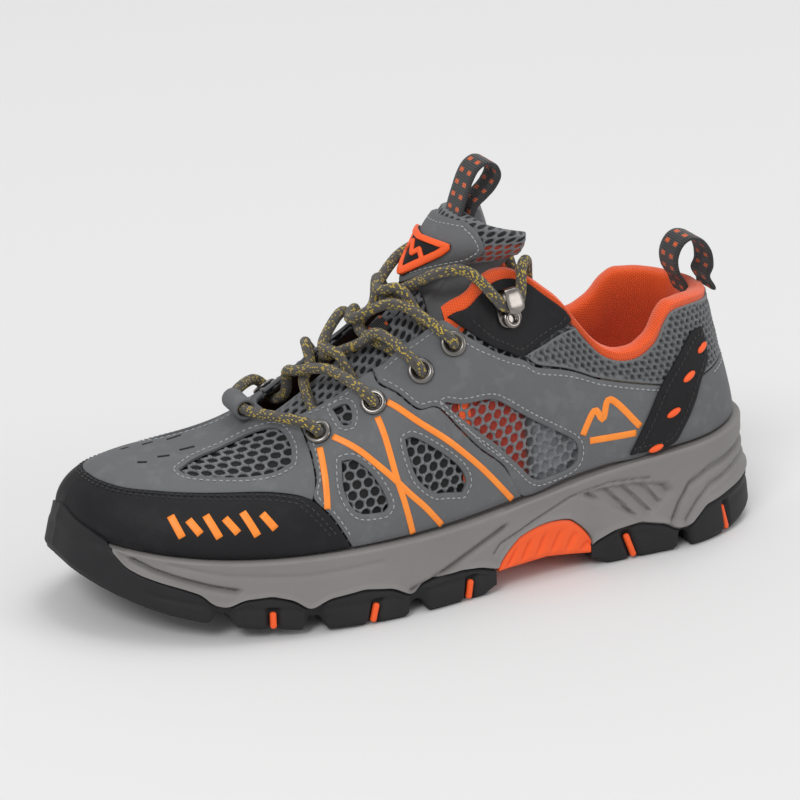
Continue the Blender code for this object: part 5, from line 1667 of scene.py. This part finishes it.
def pad_finish():
    f = Finish("tongue_air_mesh", rough=0.82, specular=0.25, sheen=0.2)
    fibres = f.noise(1700.0, 2.0)
    strand = f.attribute("strand")
    red = f.attribute("red")
    # Painted shade: the cells are near black, or the lining's red darkened at the sides; the thread's fibre
    # noise is its own tone.
    hole = f.mix(red, (0.016, 0.016, 0.018), (0.42, 0.045, 0.015))
    thread = f.mix(fibres, (0.080, 0.083, 0.088), (0.20, 0.205, 0.215))
    f.paint(f.mix(strand.above(0.42, 0.2), hole, thread))
    return f.emboss(fibres, 0.00015, 0.8)


# Where the pad's cells show the lining's red, low at the sides; all other cells are painted near black as
# shade.
red = steps(.5, .7, np.abs(aa) / FLAP_TURN) * (1 - steps(.45, .62, vv)) * .8
values = {"strand": np.concatenate([strand.ravel(), np.ones(base)]),
          "red": np.concatenate([red.ravel(), np.zeros(base)])}
pad = piece("tongue_pad_mesh", points, faces, pad_finish(), body="tongue_flap",
            smooth=SMOOTH_ALL, values=values)
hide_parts("tongue_pad")


def flap_chart(angle, v):
    return np.stack([np.asarray(angle, float) * .42, np.asarray(v, float) * 27.0], -1)


facing = [(-58, .04), (-61, .3), (-58, .55), (-47, .80), (-30, .93), (-15, .955), (0, .96), (15, .955),
          (30, .93), (47, .80), (58, .55), (61, .3), (58, .04), (30, -.10), (0, -.18), (-30, -.10)]
panel("tongue_facing_upper_leather", facing, grey_leather, "tongue_facing_upper",
      chart=flap_chart, surface=flap, low=0.0, high=1.15, body="tongue_flap", cell=1.2)
facing_loop = rounded_loop(facing, surface=flap, chart=flap_chart)
row_piece("tongue_stitching", [stitch_run(inset(facing_loop, 2.2, flap), True, 1.25, flap, pitch=2.1)],
          grey_thread, body="tongue_flap")

# Shield: a moulded orange rim round a black field with two plain peaks.
SHIELD = [(-36, .44), (-31, .52), (-16, .55), (0, .56), (16, .55), (31, .52), (36, .44), (33, .25),
          (22, .06), (9, -.06), (0, -.09), (-9, -.06), (-22, .06), (-33, .25)]
panel("badge_field", SHIELD, black_leather, "tongue_badge", chart=flap_chart, surface=flap,
      low=1.35, high=2.5, body="tongue_flap", cell=1.2)
shield_loop = inset(rounded_loop(SHIELD, surface=flap, chart=flap_chart), 1.3, flap)
rim_rings = []
for across, up in RIBBON_SHAPE:
    moved = inset(shield_loop, 1.25 * across, flap)
    rim_rings.append(flap(moved[:, 0], moved[:, 1], np.full(len(moved), 2.55 + 1.1 * up)))
points = np.stack(rim_rings, 1).reshape(-1, 3)
faces = ring_faces(len(RIBBON_SHAPE), len(shield_loop), closed_path=True)
piece("badge_rim", points, faces, orange_plastic, body="tongue_flap", smooth=50)
BADGE_PEAKS = [(-21, .17), (-10, .35), (-4, .26), (6, .42), (20, .17)]
peak = np.array(BADGE_PEAKS, float)
place = np.linspace(0, len(peak) - 1, 60)
peak_line = at_distances(peak, range(len(peak)), place)
points, faces = ribbon(peak_line, 1.05, .8, surface=lambda a, v, lift: flap(a, v, np.asarray(lift) + 2.6))
piece("badge_peaks", points, faces, orange_plastic, body="tongue_flap", smooth=50)

# ---- Pull loops ----------------------------------------------------------------------------------
# Folded black webbing with orange dashes: one on the tongue, one on the heel over a stitched tab.
TONGUE_LOOP = [(19.6, 148.2), (21.2, 153), (23.0, 158), (25.8, 162.5), (30.0, 164.6), (34.0, 162.6),
               (35.2, 158.6), (32.8, 154.2), (29.0, 150.6), (25.6, 147.8)]
HEEL_LOOP = [(120.4, 103.0), (117.0, 108), (116.0, 114), (118.2, 119.4), (122.5, 121.8), (127.5, 120.2),
             (131.4, 115.4), (132.6, 109), (131.2, 104.5)]
WEB_COLUMNS = 12
TONGUE_WEB_HALF = 7.0
TONGUE_WEB_THICK = 1.5
HEEL_WEB_HALF = 7.5
HEEL_WEB_THICK = 1.6


def webbing_loop(name, path, half_width, thick, body, node, extra_start=(), extra_end=()):
    """A flat strap bent along a smooth path in the X-Z plane."""
    p = np.array(list(extra_start) + list(path) + list(extra_end), float)
    place = np.linspace(0, len(p) - 1, 150)
    line = curve(p, place)
    d = unit(np.gradient(line, axis=0))
    n = np.stack([-d[:, 1], d[:, 0]], -1)
    run = travelled(line)
    ys = np.linspace(-1, 1, WEB_COLUMNS)
    edge = np.where(np.abs(ys) > .95, .55, 1.0)
    points = []
    along = []
    across = []
    for i in range(len(line)):
        for sign, order in ((1, ys), (-1, ys[::-1])):
            for y, e in zip(order, edge):
                spot = line[i] + n[i] * sign * thick / 2 * e
                points.append((spot[0], y * half_width, spot[1]))
                along.append(run[i])
                across.append(y * half_width)
    made = piece(name, points, ring_faces(2 * WEB_COLUMNS, len(line)), webbing, body=body,
                 smooth=60, values={"along": along, "across": across})
    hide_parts(node)


webbing_loop("tongue_pull_webbing", TONGUE_LOOP, TONGUE_WEB_HALF, TONGUE_WEB_THICK, "tongue_loop",
             "tongue_pull_loop", extra_start=[(18.4, 143.6)], extra_end=[(23.6, 143.6)])
heel_foot = [tuple(on_upper(LAST_STATION, t, 3.5)[[0, 2]]) for t in (.75, .728)]
webbing_loop("heel_pull_webbing", HEEL_LOOP, HEEL_WEB_HALF, HEEL_WEB_THICK, "heel_loop", "heel_pull_loop",
             extra_end=heel_foot, extra_start=[(122.0, 98.0)])
tab = [(18.35, .49), (18.35, .74), (19, .74), (19.65, .74), (19.65, .49), (19, .47)]
panel("heel_tab_leather", tab, black_leather, "heel_loop_tab", low=.4, high=1.4)
tab_loop = inset(rounded_loop(tab), 2.0)
row_piece("heel_tab_stitching", [stitch_run(tab_loop, True, 1.5)], black_thread)

# ---- Throat loop ---------------------------------------------------------------------------------
# A folded leather tab at the foot of the lacing; the middle of the cord runs through it.
LOOP_AXIS = on_upper(5.42, 1.0, 5.9)
LOOP_BORE = 3.0
LOOP_WALL = 1.3
LOOP_HALF = 7.4
unpick()
bpy.ops.mesh.primitive_cylinder_add(vertices=40, radius=(LOOP_BORE + LOOP_WALL) * MM,
                                    depth=2 * LOOP_HALF * MM,
                                    end_fill_type="NOTHING", rotation=(np.pi / 2, 0, 0))
throat = bpy.context.active_object
throat.name = "throat_loop_leather"
wall_of_loop = throat.modifiers.new("wall", "SOLIDIFY")
wall_of_loop.thickness = LOOP_WALL * MM
bpy.ops.object.modifier_apply(modifier=wall_of_loop.name)
rounding = throat.modifiers.new("rounding", "BEVEL")
rounding.width = 0.4 * MM
rounding.segments = 3
bpy.ops.object.modifier_apply(modifier=rounding.name)
bpy.ops.object.shade_smooth()
place_piece(throat, Matrix.Translation(Vector((LOOP_AXIS + RECENTRE) * MM)), grey_leather)
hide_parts("throat_loop")

# ---- Eyelets and hooks ---------------------------------------------------------------------------
# Gunmetal eyelets are set through the eyestay. A bent steel hook with a hollow rivet stands on each ankle
# patch.
FLANGE_MAJOR = 4.0
FLANGE_MINOR = 1.12


def metal_finish(name, low, high, rough):
    f = Finish(name, rough=rough, metallic=1.0)
    wear = f.noise(220.0, 5.0)
    f.paint(f.mix(wear, low, high), wear * 0.2 + (rough - 0.1))
    return f.emboss(f.noise(900.0, 3.0), 0.00003, 0.4)


gunmetal = metal_finish("gunmetal", (0.11, 0.105, 0.10), (0.30, 0.285, 0.27), 0.30)
steel = metal_finish("worn_steel", (0.12, 0.108, 0.10), (0.36, 0.33, 0.31), 0.27)


def ring_shape(name, major, minor, squash):
    unpick()
    bpy.ops.mesh.primitive_torus_add(major_radius=major * MM, minor_radius=minor * MM, major_segments=44,
                                     minor_segments=14)
    made = bpy.context.active_object
    made.name = name
    made.scale = (1, 1, squash)
    bpy.ops.object.transform_apply(location=False, rotation=False, scale=True)
    bpy.ops.object.shade_smooth()
    return made


def barrel_shape(radius, depth, wall_thick, drop):
    unpick()
    bpy.ops.mesh.primitive_cylinder_add(vertices=36, radius=radius * MM, depth=depth * MM,
                                        end_fill_type="NOTHING", location=(0, 0, drop * MM))
    made = bpy.context.active_object
    solid_wall = made.modifiers.new("wall", "SOLIDIFY")
    solid_wall.thickness = wall_thick * MM
    bpy.ops.object.modifier_apply(modifier=solid_wall.name)
    bpy.ops.object.shade_smooth()
    return made


def joined(parts):
    unpick()
    for part in parts:
        part.select_set(True)
    bpy.context.view_layer.objects.active = parts[0]
    bpy.ops.object.join()
    return bpy.context.view_layer.objects.active


for side, word in SIDES:
    for number, (k, t) in enumerate(EYELETS, 1):
        eyelet = joined([ring_shape("eyelet_ring_%s_%d" % (word, number), FLANGE_MAJOR, FLANGE_MINOR, .75),
                         barrel_shape(3.25, 4.2, .45, -1.7)])
        c, along, up, n = frame_at(side * k, t)
        place_piece(eyelet, straight((c + n * .7, along, np.cross(n, along), n)), gunmetal)
        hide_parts("eyelet_%s_%d" % (word, number))

HOOK_PATH = [(-11, 1.15, 3.0), (-8, 1.15, 5.2), (-4, 1.15, 5.4), (0, 1.15, 5.0), (2.6, 1.2, 3.6),
             (3.9, 2.2, 3.0), (4.1, 5.6, 3.0), (3.0, 7.1, 3.4), (-.6, 7.4, 4.0), (-4.0, 7.2, 3.8),
             (-6.2, 6.1, 2.4)]
HOOK_THICK = 1.0
HOOK_COLUMNS = 10
for side, word in SIDES:
    c, along, up, n = frame_at(side * HOOK_SPOT[0], HOOK_SPOT[1])
    p = np.array(HOOK_PATH)
    place = np.linspace(0, len(p) - 1, 90)
    b, z, half = curve(p, place).T
    end = np.minimum(place, len(p) - 1 - place)
    half = half * np.sqrt(np.clip(1 - (1 - np.clip(end / .7, 0, 1)) ** 2, .06, 1))
    d = unit(np.stack([np.gradient(b), np.gradient(z)], -1))
    ring_points = []
    for i in range(len(place)):
        m = np.array([-d[i, 1], d[i, 0]])
        for sign, order in ((1, np.linspace(-1, 1, HOOK_COLUMNS)), (-1, np.linspace(1, -1, HOOK_COLUMNS))):
            for a in order:
                edge = .5 if abs(a) > .9 else .92 if abs(a) > .7 else 1.0
                off = m * sign * HOOK_THICK / 2 * edge
                ring_points.append(c + along * half[i] * a + up * (b[i] + off[0]) + n * (z[i] + off[1]))
    hook = piece("lace_hook_" + word, ring_points, ring_faces(2 * HOOK_COLUMNS, len(place)), steel,
                 smooth=55)
    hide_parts("hook_" + word)
    rivet = joined([ring_shape("hook_rivet_ring_" + word, 2.9, 1.1, .8), barrel_shape(2.2, 3.0, .5, -1.3)])
    place_piece(rivet, straight((c + up * -7.4 + n * 2.5, along, np.cross(n, along), n)), steel)
    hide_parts("hook_rivet_" + word)


# ---- Lace ----------------------------------------------------------------------------------------
# A round braided cord, charcoal with yellow flecks. Its middle lies in the throat loop; each half goes down
# through four eyelets, crossing over the tongue, round a hook, and its end is tucked inside the collar.
LACE_RADIUS = 2.2
LACE_SIDES = 14
LACE_STEP = 1.1
LOW_CROSS = -2.2
HIGH_CROSS = 2.9
BRAID_STRANDS = 8.0
ROUND_HOOK = [(-6.3, 2.2, 4.2), (-3.6, -2.0, 4.25), (3.6, -2.0, 4.25), (6.4, 2.2, 4.2)]
INTO_COLLAR = [(11.5, .775, 2.3), (11.8, .835, -5.5), (11.85, .72, -12.8), (11.85, .5, -13.4)]
CROSSINGS = [6.62, 7.2, 7.8, 8.42]


def through_eyelet(u, t, came_from, goes_to):
    """Down the axis of one eyelet, arriving over its flange and leaving below toward the throat."""
    c, along, up, n = frame_at(u, t)
    arrive = came_from - c
    arrive = unit(arrive - n * (arrive @ n))
    leave = goes_to - c
    leave = unit(leave - n * (leave @ n))
    return [c + arrive * 3.7 + n * 4.9, c + n * 1.9, c + n * -4.5, c + leave * 3.9 + n * -6.9,
            c + leave * 12.5 + n * -7.4]


def half_lace(start_side):
    """One half of the cord, from the throat loop to the end tucked inside the collar."""
    path = [LOOP_AXIS + np.array([0.3, start_side * 7.5, 0])]
    came_from = path[0]
    side = start_side
    for row, (k, t) in enumerate(EYELETS):
        cross = CROSSINGS[row]
        over = (side > 0) == (row % 2 == 0)
        ridge = on_upper(side * cross, .998, HIGH_CROSS if over else LOW_CROSS)
        path += through_eyelet(side * k, t, came_from, ridge)
        k_next = EYELETS[row + 1][0] if row < 3 else 10.0
        near = cross + (k_next - cross) * .33
        far = cross + (k_next - cross) * .62
        if over:
            path.append(on_upper(side * (cross + (k - cross) * .3), .90, HIGH_CROSS - 1.0))
            path.append(ridge)
            path.append(on_upper(-side * (near + far) / 2, .84, 3.8))
        else:
            path.append(ridge)
            path.append(on_upper(-side * near, .90, LOW_CROSS - .1))
            path.append(on_upper(-side * far, .80, 3.4))
        came_from = path[-1]
        side = -side
    path.append(on_upper(side * 9.9, .735, 3.3))
    c, along, up, n = frame_at(side * HOOK_SPOT[0], HOOK_SPOT[1])
    for a, b, z in ROUND_HOOK:
        path.append(c + along * a + up * b + n * z)
    for k, t, lift in INTO_COLLAR:
        path.append(on_upper(side * k, t, lift))
    return path


def smooth_line(points, step):
    """A curve through points, centripetal so that it doesn't overshoot, with even short steps."""
    p = np.array(points, float)
    p = np.vstack([2 * p[0] - p[1], p, 2 * p[-1] - p[-2]])
    fine = []
    for i in range(1, len(p) - 2):
        knots = np.cumsum([0.0] + [np.sqrt(np.linalg.norm(p[i + j] - p[i + j - 1])) for j in (0, 1, 2)])
        t = np.linspace(knots[1], knots[2], 14, endpoint=False)[:, None]
        t0, t1, t2, t3 = knots
        a1 = (t1 - t) / (t1 - t0) * p[i - 1] + (t - t0) / (t1 - t0) * p[i]
        a2 = (t2 - t) / (t2 - t1) * p[i] + (t - t1) / (t2 - t1) * p[i + 1]
        a3 = (t3 - t) / (t3 - t2) * p[i + 1] + (t - t2) / (t3 - t2) * p[i + 2]
        b1 = (t2 - t) / (t2 - t0) * a1 + (t - t0) / (t2 - t0) * a2
        b2 = (t3 - t) / (t3 - t1) * a2 + (t - t1) / (t3 - t1) * a3
        fine.append((t2 - t) / (t2 - t1) * b1 + (t - t1) / (t2 - t1) * b2)
    fine = np.vstack(fine + [p[-2:-1]])
    run = travelled(fine)
    even = np.linspace(0, run[-1], max(3, int(run[-1] / step) + 1))
    return at_distances(fine, run, even)


def cord_rings(line, radius, sides):
    """Rings of a round cord that don't twist, and how far along the cord each ring lies."""
    tangent = unit(np.gradient(line, axis=0))
    ref = np.array([0.0, 0.0, 1.0])
    points = []
    for p, d in zip(line, tangent):
        ref = unit(ref - d * (ref @ d))
        other = np.cross(d, ref)
        for a in np.linspace(0, 2 * np.pi, sides, endpoint=False):
            points.append(p + (ref * np.cos(a) + other * np.sin(a)) * radius)
    run = travelled(line)
    return np.array(points), run


def braid_finish():
    """Braided polyester: strands crossing both ways, most charcoal, some yellow."""
    f = Finish("lace_braid", rough=0.85, specular=0.25, sheen=0.25)
    turn = f.attribute("turn")
    run = f.attribute("run")
    lean = run * 0.85
    right = (turn * BRAID_STRANDS + lean).math("FRACT")
    left = (turn * BRAID_STRANDS - lean).math("FRACT")
    strand_r = 1.0 - (right - 0.5).math("ABSOLUTE") * 2.0
    strand_l = 1.0 - (left - 0.5).math("ABSOLUTE") * 2.0
    height = strand_r.math("MAXIMUM", strand_l)
    number_r = (turn * BRAID_STRANDS + lean).math("FLOOR")
    number_l = (turn * BRAID_STRANDS - lean).math("FLOOR")
    spot = f.node("ShaderNodeCombineXYZ", {}, (number_r, number_l, 0.0))
    chance = f.node("ShaderNodeTexWhiteNoise", {"noise_dimensions": "3D"}, (spot,), "Value")
    fleck = chance.above(0.80, 0.01)
    fibres = f.noise(2600.0, 2.0)
    dull = f.mix(fibres * 0.7 + chance * 0.3, (0.040, 0.036, 0.032), (0.150, 0.132, 0.115))
    bright = f.mix(fibres, (0.55, 0.36, 0.02), (0.90, 0.68, 0.05))
    f.paint(f.mix(fleck * height.above(0.45, 0.1), dull, bright))
    return f.emboss(height + fibres * 0.25, 0.0006)


lace_route = list(reversed(half_lace(LATERAL))) + half_lace(MEDIAL)
lace_line = smooth_line(lace_route, LACE_STEP)
lace_points, lace_run = cord_rings(lace_line, LACE_RADIUS, LACE_SIDES)
turn = np.tile(np.arange(LACE_SIDES) / LACE_SIDES, len(lace_line))
turn = np.minimum(turn, 1 - turn) * 2
lace = piece("lace_cord", lace_points, ring_faces(LACE_SIDES, len(lace_line)), braid_finish(),
             smooth=SMOOTH_ALL, values={"turn": turn, "run": np.repeat(lace_run, LACE_SIDES)})
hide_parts("lace")


# ---- Lace tips -----------------------------------------------------------------------------------
# Black plastic sleeves crimped on the two ends, tucked inside the collar.
tip_plastic = plastic_finish("lace_tip_plastic", (0.010, 0.010, 0.011), (0.03, 0.03, 0.032), 0.35)
finish_node("lace_tip_lateral", tip_plastic)
finish_node("lace_tip_medial", tip_plastic)
